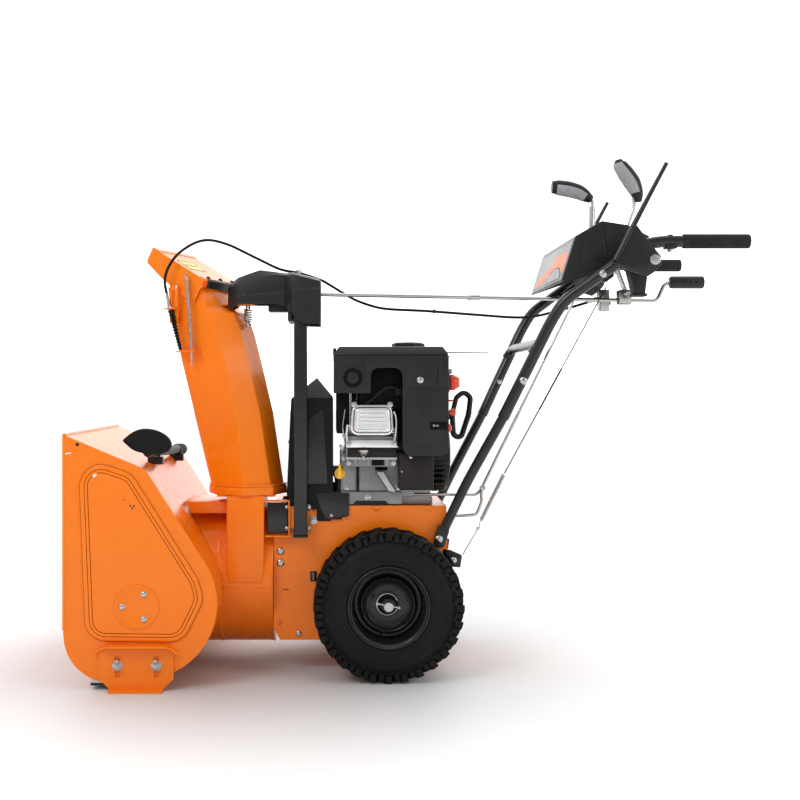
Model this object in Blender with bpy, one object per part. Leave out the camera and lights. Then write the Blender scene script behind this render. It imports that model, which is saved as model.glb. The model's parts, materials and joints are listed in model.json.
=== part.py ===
"""Two-stage walk-behind snow blower, built as separate named pieces.

Metres, +Z up, ground at Z 0. -X is the front (auger), +X the operator's side, and the machine's
centre plane is Y 0 with its left side at -Y. Every piece is one closed solid. A piece that moves
has its origin on the axis of its joint.
"""

from math import asin, atan2, cos, degrees, pi, radians, sin, sqrt

import bmesh
import bpy
from mathutils import Matrix, Vector

# ---------------------------------------------------------------- driving dimensions
GAP = 0.0003  # between neighbouring pieces

# Auger housing
HOUSING_HALF_WIDTH = 0.310
SHEET = 0.003
SIDE_PLATE = 0.0035
TOP_FRONT = (-0.7456, 0.5485)
TOP_REAR = (-0.571, 0.475)
REAR_ARC = (-0.578, 0.186)
REAR_ARC_RADIUS = 0.162
FRONT_ARC = (-0.642, 0.1205)
FRONT_ARC_RADIUS = 0.1043
AUGER_AXIS = (-0.588, 0.1805)
AUGER_RADIUS = 0.138
AUGER_PITCH = 0.22
SHAFT_RADIUS = 0.0095
SHAFT_BORE = 0.0099

# Impeller drum, its neck and the chute above it
IMPELLER_Z = 0.210
DRUM_RADIUS = 0.165
DRUM_REAR = -0.3036
CHUTE_AXIS = (-0.366, -0.085)
CHUTE_TURN = radians(25)  # the chute stands this far to the machine's right of straight ahead
CHUTE_HALF = 0.078
OCTAGON = 0.4142  # half the side of an octagon over its apothem
RING_LOW, RING_HIGH = 0.4045, 0.428
# height, front edge, side fold and rear face of the chute, along its own backward direction
CHUTE_SECTIONS = (
    (0.4125, -0.045, 0.0323, 0.0780),
    (0.428, -0.050, 0.030, 0.0765),
    (0.596, -0.097, 0.008, 0.0480),
    (0.702, -0.127, -0.015, 0.0200),
    (0.776, -0.147, -0.038, -0.0010),
    (0.824, -0.158, -0.055, -0.0200),
    (0.838, -0.161, -0.066, -0.0550),
    (0.883, -0.168, -0.082, -0.0720),
)
DEFLECTOR_HINGE = (-0.067, 0.8975)
DEFLECTOR_HALF = 0.085
DEFLECTOR_SIDE = ((-0.067, 0.8975), (-0.2066, 0.978), (-0.2233, 0.946), (-0.1806, 0.906), (-0.097, 0.845))

# Frame, wheels and engine
FRAME_HALF = 0.145
FRAME_FRONT, FRAME_REAR = -0.3033, 0.094
FRAME_LOW, FRAME_TOP = 0.073, 0.380
AXLE = (-0.045, 0.1666)
TYRE_RADIUS = 0.1666
WHEEL_MIDDLE = 0.207
BELT_X = -0.249
CRANKSHAFT_Z = 0.452

# Handlebars and controls
LOWER_TUBE = 0.011
UPPER_TUBE = 0.013
GRIP_RADIUS = 0.0158
HANDLE_Z = 0.971
LOWER_HANDLE = ((0.071, 0.1566, 0.298), (0.138, 0.160, 0.437), (0.216, 0.178, 0.581), (0.259, 0.187, 0.665))
UPPER_HANDLE = ((0.216, 0.178, 0.581), (0.320, 0.202, 0.798), (0.348, 0.208, 0.844), (0.4475, 0.229, 0.916),
                (0.509, 0.243, 0.963), (0.552, 0.250, HANDLE_Z), (0.742, 0.250, HANDLE_Z))
LEVER_PIVOT = (0.533, 0.9285)
LEVER_Y = 0.268
CRANK_Y = -0.08
CRANK_FRONT = (-0.385, 0.8716)
CRANK_REAR = (0.592, 0.853)
CRANK_HANDLE_Z = 0.8965
SPEED_PIVOT = (0.515, -0.06, 0.965)
CHUTE_LEVER_PIVOT = (0.468, 0.06, 0.965)

# The deflector cable's route, held from the dash to the chute
CABLE_RADIUS = 0.0032
CABLE_REAR_ROUTE = (
    (-0.248, -0.028, 0.924), (-0.199, -0.028, 0.908), (-0.174, -0.034, 0.894), (-0.149, -0.042, 0.878),
    (-0.113, -0.050, 0.857), (-0.068, -0.055, 0.841), (-0.028, -0.055, 0.835), (0.054, -0.055, 0.831),
    (0.161, -0.055, 0.823), (0.261, -0.055, 0.816), (0.311, -0.055, 0.819), (0.351, -0.055, 0.828),
    (0.400, -0.055, 0.841), (0.436, -0.055, 0.852),
)
CABLE_FRONT_ROUTE = (
    (-0.553, -0.108, 0.867), (-0.557, -0.112, 0.896), (-0.550, -0.116, 0.924), (-0.531, -0.118, 0.953),
    (-0.506, -0.116, 0.974), (-0.478, -0.108, 0.989), (-0.449, -0.095, 0.993), (-0.411, -0.070, 0.985),
    (-0.375, -0.045, 0.970), (-0.342, -0.030, 0.955), (-0.293, -0.028, 0.9325), (-0.2485, -0.028, 0.9243),
)

# ---------------------------------------------------------------- materials
FINISHES = {
    # name: (colour, roughness, metallic)
    "orange_paint": ((0.87, 0.19, 0.015), 0.22, 0.0),
    "black_paint": ((0.020, 0.020, 0.021), 0.32, 0.0),
    "black_plastic": ((0.026, 0.026, 0.027), 0.50, 0.0),
    "rubber": ((0.014, 0.014, 0.014), 0.80, 0.0),
    "grip_foam": ((0.022, 0.022, 0.023), 0.70, 0.0),
    "zinc_steel": ((0.62, 0.61, 0.58), 0.30, 1.0),
    "cast_aluminium": ((0.55, 0.55, 0.55), 0.42, 1.0),
    "yellow_plastic": ((0.90, 0.52, 0.02), 0.35, 0.0),
    "red_plastic": ((0.72, 0.045, 0.02), 0.35, 0.0),
}


def make_material(name):
    colour, roughness, metallic = FINISHES[name]
    made = bpy.data.materials.new(name)
    made.use_nodes = True
    shader = made.node_tree.nodes["Principled BSDF"]
    shader.inputs["Base Color"].default_value = (*colour, 1.0)
    shader.inputs["Roughness"].default_value = roughness
    shader.inputs["Metallic"].default_value = metallic
    made.diffuse_color = (*colour, 1.0)
    return made


# ---------------------------------------------------------------- shape helpers
def clear_scene():
    for obj in list(bpy.data.objects):
        bpy.data.objects.remove(obj)


def arc(centre, radius, start, end, steps):
    """Points of an arc from one angle to another, in degrees."""
    angles = [radians(start + (end - start) * i / steps) for i in range(steps + 1)]
    return [(centre[0] + radius * cos(a), centre[1] + radius * sin(a)) for a in angles]


def rounded(points, reach, steps=4):
    """An open path of 2-D or 3-D points with each inner corner replaced by a short curve."""
    points = [Vector(p) for p in points]
    out = [points[0]]
    for before, corner, after in zip(points, points[1:], points[2:]):
        cut = min(reach, 0.45 * (corner - before).length, 0.45 * (after - corner).length)
        start = corner + (before - corner).normalized() * cut
        end = corner + (after - corner).normalized() * cut
        for i in range(steps + 1):
            t = i / steps
            out.append(start * (1 - t) ** 2 + corner * 2 * t * (1 - t) + end * t**2)
    out.append(points[-1])
    return [tuple(p) for p in out]


def smooth_route(points, per_span=5):
    """Points of a Catmull-Rom curve through the route's own points."""
    points = [Vector(p) for p in points]
    points = [points[0] * 2 - points[1], *points, points[-1] * 2 - points[-2]]
    out = []
    for a, b, c, d in zip(points, points[1:], points[2:], points[3:]):
        for i in range(per_span):
            t = i / per_span
            out.append(0.5 * (2 * b + (c - a) * t + (2 * a - 5 * b + 4 * c - d) * t**2
                              + (3 * b - a - 3 * c + d) * t**3))
    out.append(points[-2])
    return out


def inset(path, distance):
    """A 2-D path moved to its right by a distance, with mitred corners."""
    path = [Vector(p) for p in path]
    out = []
    for i, point in enumerate(path):
        before = (point - path[i - 1]).normalized() if i else None
        after = (path[i + 1] - point).normalized() if i + 1 < len(path) else before
        before = before or after
        normal = Vector((before.y + after.y, -before.x - after.x)).normalized()
        share = normal.dot(Vector((after.y, -after.x)))
        out.append(tuple(point + normal * distance / share))
    return out


def mirrored(points):
    return [(x, -y, z) for x, y, z in points]


def new_solid(faces_of):
    """A bmesh filled by the given function, with its faces pointing out."""
    bm = bmesh.new()
    faces_of(bm)
    bmesh.ops.recalc_face_normals(bm, faces=bm.faces)
    return bm


def prism(outline, axis, low, high):
    """A 2-D outline extruded along an axis. It is (x, z) for y, (y, z) for x and (x, y) for z."""
    place = {
        "x": lambda a, b, t: (t, a, b),
        "y": lambda a, b, t: (a, t, b),
        "z": lambda a, b, t: (a, b, t),
    }[axis]

    def faces(bm):
        rings = [[bm.verts.new(place(a, b, t)) for a, b in outline] for t in (low, high)]
        count = len(outline)
        for i in range(count):
            j = (i + 1) % count
            bm.faces.new((rings[0][i], rings[0][j], rings[1][j], rings[1][i]))
        bm.faces.new(rings[0])
        bm.faces.new(rings[1][::-1])

    return new_solid(faces)


def box(low, high, bevel=0.0, segments=2):
    (x0, y0, z0), (x1, y1, z1) = low, high
    bm = prism([(x0, y0), (x1, y0), (x1, y1), (x0, y1)], "z", z0, z1)
    if bevel:
        bmesh.ops.bevel(bm, geom=bm.edges[:], offset=bevel, segments=segments, affect="EDGES", profile=0.5)
    return bm


def hull(points):
    def faces(bm):
        for point in points:
            bm.verts.new(point)
        bmesh.ops.convex_hull(bm, input=bm.verts)
        loose = [v for v in bm.verts if not v.link_faces]
        bmesh.ops.delete(bm, geom=loose, context="VERTS")

    return new_solid(faces)


def lathe(profile, axis, centre, segments=24):
    """A closed profile of (along, radius) points turned about an axis through the centre."""
    frame = {"x": (0, 1, 2), "y": (1, 0, 2), "z": (2, 0, 1)}[axis]

    def point(along, radius, angle):
        out = list(centre)
        out[frame[0]] += along
        out[frame[1]] += radius * cos(angle)
        out[frame[2]] += radius * sin(angle)
        return out

    def faces(bm):
        rings = []
        for along, radius in profile:
            if radius < 1e-9:
                rings.append([bm.verts.new(point(along, 0, 0))] * segments)
            else:
                rings.append([bm.verts.new(point(along, radius, 2 * pi * i / segments)) for i in range(segments)])
        for a, b in zip(rings, rings[1:] + rings[:1]):
            for i in range(segments):
                corners = []
                for vert in (a[i], a[(i + 1) % segments], b[(i + 1) % segments], b[i]):
                    if vert not in corners:
                        corners.append(vert)
                if len(corners) > 2:
                    bm.faces.new(corners)

    return new_solid(faces)


def rod(axis, centre, low, high, radius, segments=16):
    """A plain cylinder along an axis, from low to high along it."""
    profile = [(low, 0), (low, radius), (high, radius), (high, 0)]
    return lathe(profile, axis, centre, segments)


def sweep(path, radius, sides=10, closed=False):
    """A round bar along a path."""
    path = [Vector(p) for p in path]
    count = len(path)

    def faces(bm):
        rings = []
        across = None
        for i, point in enumerate(path):
            if closed:
                along = (path[(i + 1) % count] - path[i - 1]).normalized()
            else:
                along = (path[min(i + 1, count - 1)] - path[max(i - 1, 0)]).normalized()
            if across is None:
                across = along.orthogonal().normalized()
            across = (across - along * across.dot(along)).normalized()
            up = along.cross(across)
            angles = [2 * pi * k / sides for k in range(sides)]
            rings.append([bm.verts.new(point + radius * (across * cos(a) + up * sin(a))) for a in angles])
        pairs = list(zip(rings, rings[1:]))
        if closed:
            pairs.append((rings[-1], rings[0]))
        for a, b in pairs:
            for k in range(sides):
                bm.faces.new((a[k], a[(k + 1) % sides], b[(k + 1) % sides], b[k]))
        if not closed:
            bm.faces.new(rings[0][::-1])
            bm.faces.new(rings[-1])

    return new_solid(faces)


def object_of(name, bm):
    mesh = bpy.data.meshes.new(name)
    bm.to_mesh(mesh)
    bm.free()
    obj = bpy.data.objects.new(name, mesh)
    bpy.context.scene.collection.objects.link(obj)
    return obj


def combine(obj, bm, operation):
    """A Boolean of the object with one more shape, which stays hidden."""
    count = len(obj.modifiers)
    helper = object_of(f"{obj.name}.shape{count}", bm)
    helper.hide_render = True
    helper.display_type = "WIRE"
    modifier = obj.modifiers.new(f"{operation.lower()}{count}", "BOOLEAN")
    modifier.operation = operation
    modifier.object = helper


def piece(name, bm, finish, add=(), cut=(), common=(), origin=None, smooth=35):
    """One named piece: a shape, the shapes joined to it and cut from it, and its finish."""
    obj = object_of(name, bm)
    obj.data.materials.append(MATERIALS[finish])
    if smooth:
        obj.data.shade_smooth()
        obj.data.set_sharp_from_angle(angle=radians(smooth))
    if origin:
        obj.data.transform(Matrix.Translation(-Vector(origin)))
        obj.location = origin
    for shape in add:
        combine(obj, shape, "UNION")
    for shape in common:
        combine(obj, shape, "INTERSECT")
    for shape in cut:
        combine(obj, shape, "DIFFERENCE")
    return obj


def both_sides(low, high):
    """The name and Y range of a piece on the left and of its twin on the right."""
    return (("left", -high, -low), ("right", low, high))


# ---------------------------------------------------------------- auger housing
def housing_wrap():
    """The bent sheet's outer line: from the top front edge round the back to the scraper."""
    reach = Vector(TOP_REAR) - Vector(REAR_ARC)
    spread = asin(REAR_ARC_RADIUS / reach.length)
    heading = atan2(-reach.y, -reach.x) + spread
    tangent_length = sqrt(reach.length_squared - REAR_ARC_RADIUS**2)
    tangent = (TOP_REAR[0] + tangent_length * cos(heading), TOP_REAR[1] + tangent_length * sin(heading))
    start = degrees(atan2(tangent[1] - REAR_ARC[1], tangent[0] - REAR_ARC[0]))
    top = rounded([TOP_FRONT, TOP_REAR, tangent], 0.014)
    return top[:-1] + arc(REAR_ARC, REAR_ARC_RADIUS, start, -97, 16) + [(FRONT_ARC[0], FRONT_ARC[1] - FRONT_ARC_RADIUS)]


def housing_outline():
    """The side plate's whole outline."""
    return housing_wrap() + arc(FRONT_ARC, FRONT_ARC_RADIUS, -90, -180, 8)[1:]


def build_housing():
    wrap = housing_wrap()
    strip = wrap + inset(wrap, SHEET)[::-1]
    inner = HOUSING_HALF_WIDTH - SIDE_PLATE
    piece("housing_shell", prism(strip, "y", GAP - inner, inner - GAP), "orange_paint",
          cut=[rod("x", (0, 0, IMPELLER_Z), -0.53, -0.38, DRUM_RADIUS - 0.0055, 32)])
    for side, low, high in both_sides(inner, HOUSING_HALF_WIDTH):
        piece(f"{side}_side_plate", prism(housing_outline(), "y", low, high), "orange_paint",
              cut=[rod("y", (AUGER_AXIS[0], 0, AUGER_AXIS[1]), low - 0.01, high + 0.01, 0.0125)])
    piece("scraper_bar", box((-0.690, -0.300, 0.0085), (-0.622, 0.300, 0.0145)), "black_paint")


def build_skid_shoes():
    """A channel bolted to each side plate, with two upright slots for height setting."""
    front, rear, height, thick = -0.669, -0.509, 0.100, 0.0045
    plate = HOUSING_HALF_WIDTH + GAP
    flange = 0.335
    for side, sign in (("left", -1), ("right", 1)):
        channel = [(plate, 0), (flange, 0), (flange, thick), (plate + thick, thick),
                   (plate + thick, height - thick), (flange, height - thick), (flange, height), (plate, height)]
        outline = [(sign * y, z) for y, z in channel]
        cuts = []
        for x in (-0.629, -0.546):
            cuts.append(box((x - 0.0055, min(sign * 0.30, sign * 0.35), 0.030),
                            (x + 0.0055, max(sign * 0.30, sign * 0.35), 0.0755)))
        for x, inward in ((front, 1), (rear, -1)):
            for z, up, size in ((0, 1, 0.026), (height, -1, 0.014)):
                corner = [(x - inward * 0.01, z - up * 0.01), (x + inward * (size + 0.01), z - up * 0.01),
                          (x - inward * 0.01, z + up * (size + 0.01))]
                cuts.append(prism(corner, "y", min(sign * 0.3, sign * 0.35), max(sign * 0.3, sign * 0.35)))
        piece(f"{side}_skid_shoe", prism(outline, "x", front, rear), "orange_paint", cut=cuts)


def flighting(sign, low, high):
    """A ribbon auger's helical strip from low to high along Y, on one side of the gearcase."""
    outer, width, thick = AUGER_RADIUS, 0.050, 0.003
    steps = 30
    turns = (high - low) / AUGER_PITCH

    def faces(bm):
        rings = []
        for i in range(steps + 1):
            angle = sign * 2 * pi * turns * i / steps
            y = low + (high - low - thick) * i / steps
            ring = []
            for radius, along in ((outer - width, y), (outer, y), (outer, y + thick), (outer - width, y + thick)):
                ring.append(bm.verts.new((AUGER_AXIS[0] + radius * cos(angle), sign * along,
                                          AUGER_AXIS[1] + radius * sin(angle))))
            rings.append(ring)
        for a, b in zip(rings, rings[1:]):
            for k in range(4):
                bm.faces.new((a[k], a[(k + 1) % 4], b[(k + 1) % 4], b[k]))
        bm.faces.new(rings[0])
        bm.faces.new(rings[-1][::-1])

    return new_solid(faces)


def build_auger():
    centre = (AUGER_AXIS[0], 0, AUGER_AXIS[1])
    piece("auger_shaft", rod("y", centre, -0.3092, 0.3092, SHAFT_RADIUS), "zinc_steel", origin=centre)
    low, high, tube = 0.0365, 0.2990, 0.0165
    for side, sign in (("left", -1), ("right", 1)):
        y0, y1 = sorted((sign * low, sign * high))
        hub = lathe([(y0, SHAFT_BORE), (y1, SHAFT_BORE), (y1, tube), (y0, tube)], "y", centre, 16)
        arms = []
        turns = (high - low - 0.012) / AUGER_PITCH
        for share in (0.03, 0.5, 0.97):
            angle = sign * 2 * pi * turns * share
            y = sign * (low + 0.006 + (high - low - 0.015) * share + 0.0015)
            tip = AUGER_RADIUS - 0.020
            start, end = [(centre[0] + r * cos(angle), y, centre[2] + r * sin(angle)) for r in (0.0125, tip)]
            arms.append(sweep([start, end], 0.006, 6))
        piece(f"{side}_auger", hub, "orange_paint", add=[flighting(sign, low + 0.006, high - 0.006), *arms],
              origin=centre)
    drive = (0, 0, IMPELLER_Z)
    piece("auger_gearcase", rod("y", centre, -0.036, 0.036, 0.052, 24), "cast_aluminium",
          add=[rod("x", drive, -0.575, -0.505, 0.024, 20)],
          cut=[rod("y", centre, -0.05, 0.05, SHAFT_BORE), rod("x", drive, -0.57, -0.49, SHAFT_BORE)])


def build_drum():
    """The impeller drum with its neck: a round shell with a square duct rising on its left side."""
    drive = (0, 0, IMPELLER_Z)
    neck_low, neck_high = (-0.409, -DRUM_RADIUS, IMPELLER_Z), (-0.324, -0.010, 0.4035)
    inner = DRUM_RADIUS - SHEET
    bore = 0.0125
    grown = inset(housing_outline() + [housing_outline()[0]], -GAP)[:-1]
    shell = rod("x", drive, -0.53, DRUM_REAR, DRUM_RADIUS, 40)
    neck = box(neck_low, neck_high)
    collar = box((-0.432, -0.151, 0.4005), (-0.300, -0.012, 0.4042))
    duct = box((neck_low[0] + SHEET, neck_low[1] + SHEET, IMPELLER_Z), (neck_high[0] - SHEET, neck_high[1] - SHEET, 0.42))
    piece("impeller_drum", shell, "orange_paint", add=[neck, collar],
          cut=[rod("x", drive, -0.60, DRUM_REAR - SHEET, inner, 40), duct,
               rod("x", drive, -0.32, -0.29, bore), prism(grown, "y", -0.4, 0.4)])


def build_impeller():
    drive = (0, 0, IMPELLER_Z)
    paddles = []
    for k in range(4):
        blade = box((-0.402, -0.002, 0.010), (-0.322, 0.002, 0.154))
        bmesh.ops.transform(blade, matrix=Matrix.Translation(drive) @ Matrix.Rotation(k * pi / 2 + pi / 4, 4, "X"),
                            verts=blade.verts)
        paddles.append(blade)
    hub = rod("x", drive, -0.404, -0.318, 0.022, 20)
    piece("impeller", rod("x", drive, -0.568, -0.2380, SHAFT_RADIUS), "orange_paint", add=[hub, *paddles],
          origin=(-0.36, 0, IMPELLER_Z))


# ---------------------------------------------------------------- belt drive
def build_belt_drive():
    low, high = (0, 0, IMPELLER_Z), (0, 0, CRANKSHAFT_Z)
    half = 0.010
    big, small = 0.075, 0.040
    piece("impeller_pulley", lathe([(BELT_X - half, SHAFT_BORE), (BELT_X + half, SHAFT_BORE),
                                    (BELT_X + half, big), (BELT_X - half, big)], "x", low, 28),
          "zinc_steel", origin=(BELT_X, 0, IMPELLER_Z))
    piece("engine_pulley", lathe([(BELT_X - half, 0), (BELT_X - half, small), (BELT_X + half, small),
                                  (BELT_X + half, 0.011), (-0.1503, 0.011), (-0.1503, 0)], "x", high, 24),
          "zinc_steel", origin=(BELT_X, 0, CRANKSHAFT_Z))

    def loop(extra, width):
        points = []
        for centre, radius in ((IMPELLER_Z, big), (CRANKSHAFT_Z, small)):
            for y, z in arc((0, centre), radius + extra, 0, 352.5, 47):
                points += [(BELT_X - width, y, z), (BELT_X + width, y, z)]
        return hull(points)

    piece("drive_belt", loop(0.009, 0.006), "rubber", cut=[loop(0.0008, 0.02)])


def build_belt_cover():
    side, roof = FRAME_HALF + GAP, 0.0027
    outer = [(x, y, z) for y in (-side - roof, side + roof)
             for x, z in ((-0.273, 0.372), (-0.167, 0.372), (-0.262, 0.626), (-0.167, 0.626))]
    outer += [(-0.205, -0.07, 0.673), (-0.205, 0.07, 0.673)]
    inner = [(x, y, z) for y in (-side, side)
             for x, z in ((-0.2705, 0.355), (-0.170, 0.355), (-0.259, 0.6235), (-0.170, 0.6235))]
    inner += [(-0.205, -0.068, 0.669), (-0.205, 0.068, 0.669)]
    tabs = [box((-0.205, low, 0.345), (-0.172, high, 0.380)) for _, low, high in both_sides(side, side + roof)]
    piece("belt_cover", hull(outer), "black_paint", add=tabs,
          cut=[hull(inner), box((-0.32, -side, 0.34), (-0.14, side, FRAME_TOP + GAP)),
               rod("x", (0, 0, CRANKSHAFT_Z), -0.180, -0.160, 0.030)])


# ---------------------------------------------------------------- chute
def chute_frame():
    return Matrix.Translation((*CHUTE_AXIS, 0)) @ Matrix.Rotation(-CHUTE_TURN, 4, "Z")


def turned(bm):
    """A shape drawn along the chute's own directions, put where the chute stands."""
    bmesh.ops.transform(bm, matrix=chute_frame(), verts=bm.verts)
    return bm


def chute_point(x, y, z):
    return tuple(chute_frame() @ Vector((x, y, z)))


def octagon(apothem):
    side = apothem * OCTAGON
    return [(apothem, -side), (apothem, side), (side, apothem), (-side, apothem), (-apothem, side),
            (-apothem, -side), (-side, -apothem), (side, -apothem)]


def chute_shell():
    """The folded chute: five flat faces round an open front, drawn up through its sections."""
    corner = CHUTE_HALF * OCTAGON

    def faces(bm):
        rings = []
        for z, front, fold, rear in CHUTE_SECTIONS:
            outer = [(front, -CHUTE_HALF), (fold, -CHUTE_HALF), (rear, -corner),
                     (rear, corner), (fold, CHUTE_HALF), (front, CHUTE_HALF)]
            inner = inset(outer, -0.0025)
            rings.append([bm.verts.new((x, y, z)) for x, y in outer + inner[::-1]])
        for a, b in zip(rings, rings[1:]):
            for k in range(len(a)):
                j = (k + 1) % len(a)
                bm.faces.new((a[k], a[j], b[j], b[k]))
        for ring in (rings[0], rings[-1]):
            for k in range(5):
                bm.faces.new((ring[k], ring[k + 1], ring[10 - k], ring[11 - k]))

    return turned(new_solid(faces))


def build_chute():
    axis = (*CHUTE_AXIS, 0.60)
    hole = turned(prism(octagon(0.0765), "z", RING_LOW - 0.01, RING_HIGH + 0.002))
    ring_piece = turned(prism(octagon(0.0815), "z", RING_LOW, RING_HIGH))
    collar = object_of("chute_collar_shape", ring_piece)
    collar.hide_render = True
    collar.display_type = "WIRE"
    combine(collar, hole, "DIFFERENCE")
    arm = turned(box((-0.060, -0.016, 0.8420), (0.016, 0.016, 0.8450)))
    chute = piece("chute", chute_shell(), "orange_paint", origin=axis)
    union = chute.modifiers.new("collar", "BOOLEAN")
    union.operation = "UNION"
    union.object = collar
    combine(chute, arm, "UNION")
    combine(chute, turned(box((-0.130, -0.1080, 0.7320), (-0.080, -0.0765, 0.7350))), "UNION")
    combine(chute, turned(rod("z", (0, 0, 0), 0.835, 0.850, 0.0068)), "DIFFERENCE")

    piece("chute_gear", turned(rod("z", (0, 0, 0), 0.794, 0.8640, 0.006, 12)), "zinc_steel",
          add=[turned(rod("z", (0, 0, 0), 0.8560, 0.8640, 0.040, 28)),
               turned(rod("z", (0, 0, 0), 0.8040, 0.8350, 0.0098))], origin=axis)

    bracket = box((-0.155, -0.0955, 0.800), (-0.132, -0.0925, 0.888))
    foot = box((-0.154, -0.0950, 0.801), (-0.133, -0.0783, 0.804))
    tab = box((-0.165, -0.1075, 0.8310), (-0.133, -0.0930, 0.8340))
    slot = box((-0.148, -0.10, 0.842), (-0.141, -0.09, 0.876))
    piece("cable_bracket", turned(bracket), "orange_paint", add=[turned(foot), turned(tab)], cut=[turned(slot)],
          origin=axis)
    lean = [chute_point(-0.148, -0.1012, 0.8290), chute_point(-0.122, -0.1005, 0.7375)]
    piece("cable_bellows", sweep(lean, 0.0045, 10), "rubber", origin=axis)
    spring = [chute_point(-0.108, -0.097, 0.908), chute_point(-0.094, -0.097, 0.745)]
    piece("deflector_spring", sweep(spring, 0.0052, 10), "zinc_steel", origin=axis)

    hinge = chute_point(DEFLECTOR_HINGE[0], 0, DEFLECTOR_HINGE[1])
    (hx, hz), (fx, fz) = DEFLECTOR_SIDE[:2]
    along = Vector((fx - hx, fz - hz)).normalized()
    below = Vector((-along.y, along.x)) * 0.0025
    if below.y > 0:
        below.negate()
    back = Vector((hx, hz)) + below - along * 0.03
    fore = Vector((fx, fz)) + below + along * 0.03
    hollow = [tuple(back), tuple(fore), (-0.27, 0.80), (-0.02, 0.80)]
    piece("deflector", turned(prism(DEFLECTOR_SIDE, "y", -DEFLECTOR_HALF, DEFLECTOR_HALF)), "orange_paint",
          cut=[turned(prism(hollow, "y", 0.0025 - DEFLECTOR_HALF, DEFLECTOR_HALF - 0.0025))], origin=hinge)


# ---------------------------------------------------------------- chute drive
def build_gear_cover():
    """The hood over the chute gear, with a lobe that closes over the top of its post."""
    nose = arc(CHUTE_AXIS, 0.047, 90, 245, 10)
    plan = [*nose, (-0.277, -0.130), (-0.2600, -0.188), (-0.195, -0.188), (-0.195, -0.038)]
    inner_plan = [*arc(CHUTE_AXIS, 0.0445, 90, 245, 10), (-0.2755, -0.1275), (-0.2575, -0.1855),
                  (-0.1975, -0.1855), (-0.1975, -0.0405)]
    profile = [(-0.42, 0.850), (-0.42, 0.9075), (-0.333, 0.931), (-0.222, 0.908), (-0.195, 0.899),
               (-0.195, 0.795), (-0.2600, 0.795), (-0.2600, 0.850)]
    inner_profile = [(-0.42, 0.80), (-0.42, 0.9045), (-0.333, 0.9280), (-0.222, 0.9050), (-0.19, 0.894),
                     (-0.19, 0.78), (-0.2575, 0.78), (-0.2575, 0.80)]
    hollow = object_of("gear_cover_hollow", prism(inner_profile, "y", -0.25, 0.05))
    hollow.hide_render = True
    hollow.display_type = "WIRE"
    combine(hollow, prism(inner_plan, "z", 0.70, 1.0), "INTERSECT")
    cover = piece("gear_cover", prism(profile, "y", -0.25, 0.05), "black_plastic",
                  common=[prism(plan, "z", 0.75, 1.0)])
    cut = cover.modifiers.new("hollow", "BOOLEAN")
    cut.operation = "DIFFERENCE"
    cut.object = hollow
    combine(cover, rod("x", (0, CRANK_Y, 0.868), -0.21, -0.18, 0.0062, 12), "DIFFERENCE")

    post = box((-0.256, -0.180, 0.315), (-0.226, -0.150, 0.880), 0.003, 2)
    piece("chute_post", post, "black_paint")
    outer = [(-0.322, 0.394), (-0.2655, 0.394), (-0.2655, 0.311), (-0.322, 0.311),
             (-0.322, 0.314), (-0.2685, 0.314), (-0.2685, 0.391), (-0.322, 0.391)]
    lug = box((-0.2655, -0.162, 0.330), (-0.2563, -0.152, 0.380))
    piece("post_bracket", prism(outer, "y", -0.168, -0.1482), "orange_paint", add=[lug])


def build_crank():
    tilt = (CRANK_REAR[1] - CRANK_FRONT[1]) / (CRANK_REAR[0] - CRANK_FRONT[0])
    bend = [(*CRANK_FRONT, 0), (*CRANK_REAR, 0), (0.611, CRANK_HANDLE_Z, 0), (0.694, CRANK_HANDLE_Z, 0)]
    path = rounded([(x, CRANK_Y, z) for x, z, _ in bend], 0.010)
    worm_mid = -0.366
    worm_z = CRANK_FRONT[1] + tilt * (worm_mid - CRANK_FRONT[0])
    worm = sweep([(worm_mid - 0.018, CRANK_Y, worm_z - tilt * 0.018), (worm_mid + 0.018, CRANK_Y, worm_z + tilt * 0.018)],
                 0.0066, 12)
    origin = (0.40, CRANK_Y, CRANK_FRONT[1] + tilt * (0.40 - CRANK_FRONT[0]))
    piece("crank_rod", sweep(path, 0.0045, 8), "zinc_steel", add=[worm], origin=origin)
    grip = [(0.6220, 0.0052), (0.6220, 0.0140), (0.700, 0.0145), (0.700, 0), (0.6955, 0), (0.6955, 0.0052)]
    piece("crank_grip", lathe(grip, "x", (0, CRANK_Y, CRANK_HANDLE_Z), 20), "black_plastic",
          origin=(0.66, CRANK_Y, CRANK_HANDLE_Z))
    support_x, support_z = 0.495, CRANK_FRONT[1] + tilt * (0.495 - CRANK_FRONT[0])
    piece("crank_support", box((support_x - 0.012, CRANK_Y - 0.012, support_z - 0.012),
                               (support_x + 0.012, CRANK_Y + 0.012, 0.9305)), "zinc_steel",
          cut=[rod("x", (0, CRANK_Y, support_z), 0.46, 0.53, 0.0056, 12)])


def build_cables():
    for name, route in (("deflector_cable", CABLE_REAR_ROUTE), ("chute_cable", CABLE_FRONT_ROUTE)):
        piece(name, sweep(smooth_route(route, 3), CABLE_RADIUS, 8), "rubber",
              origin=(*CHUTE_AXIS, 0.60) if name == "chute_cable" else None)
    line = [(0.455, -0.155, 0.880), (0.218, -0.170, 0.450)]
    spring = [(0.218, -0.170, 0.450), (0.168, -0.172, 0.350)]
    hook = rounded([(0.168, -0.172, 0.350), (0.160, -0.172, 0.330), (0.128, -0.150, 0.268)], 0.01)
    piece("traction_spring", sweep(spring, 0.0048, 10), "zinc_steel",
          add=[sweep(line, 0.0016, 6), sweep(hook, 0.0016, 6)])


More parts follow.
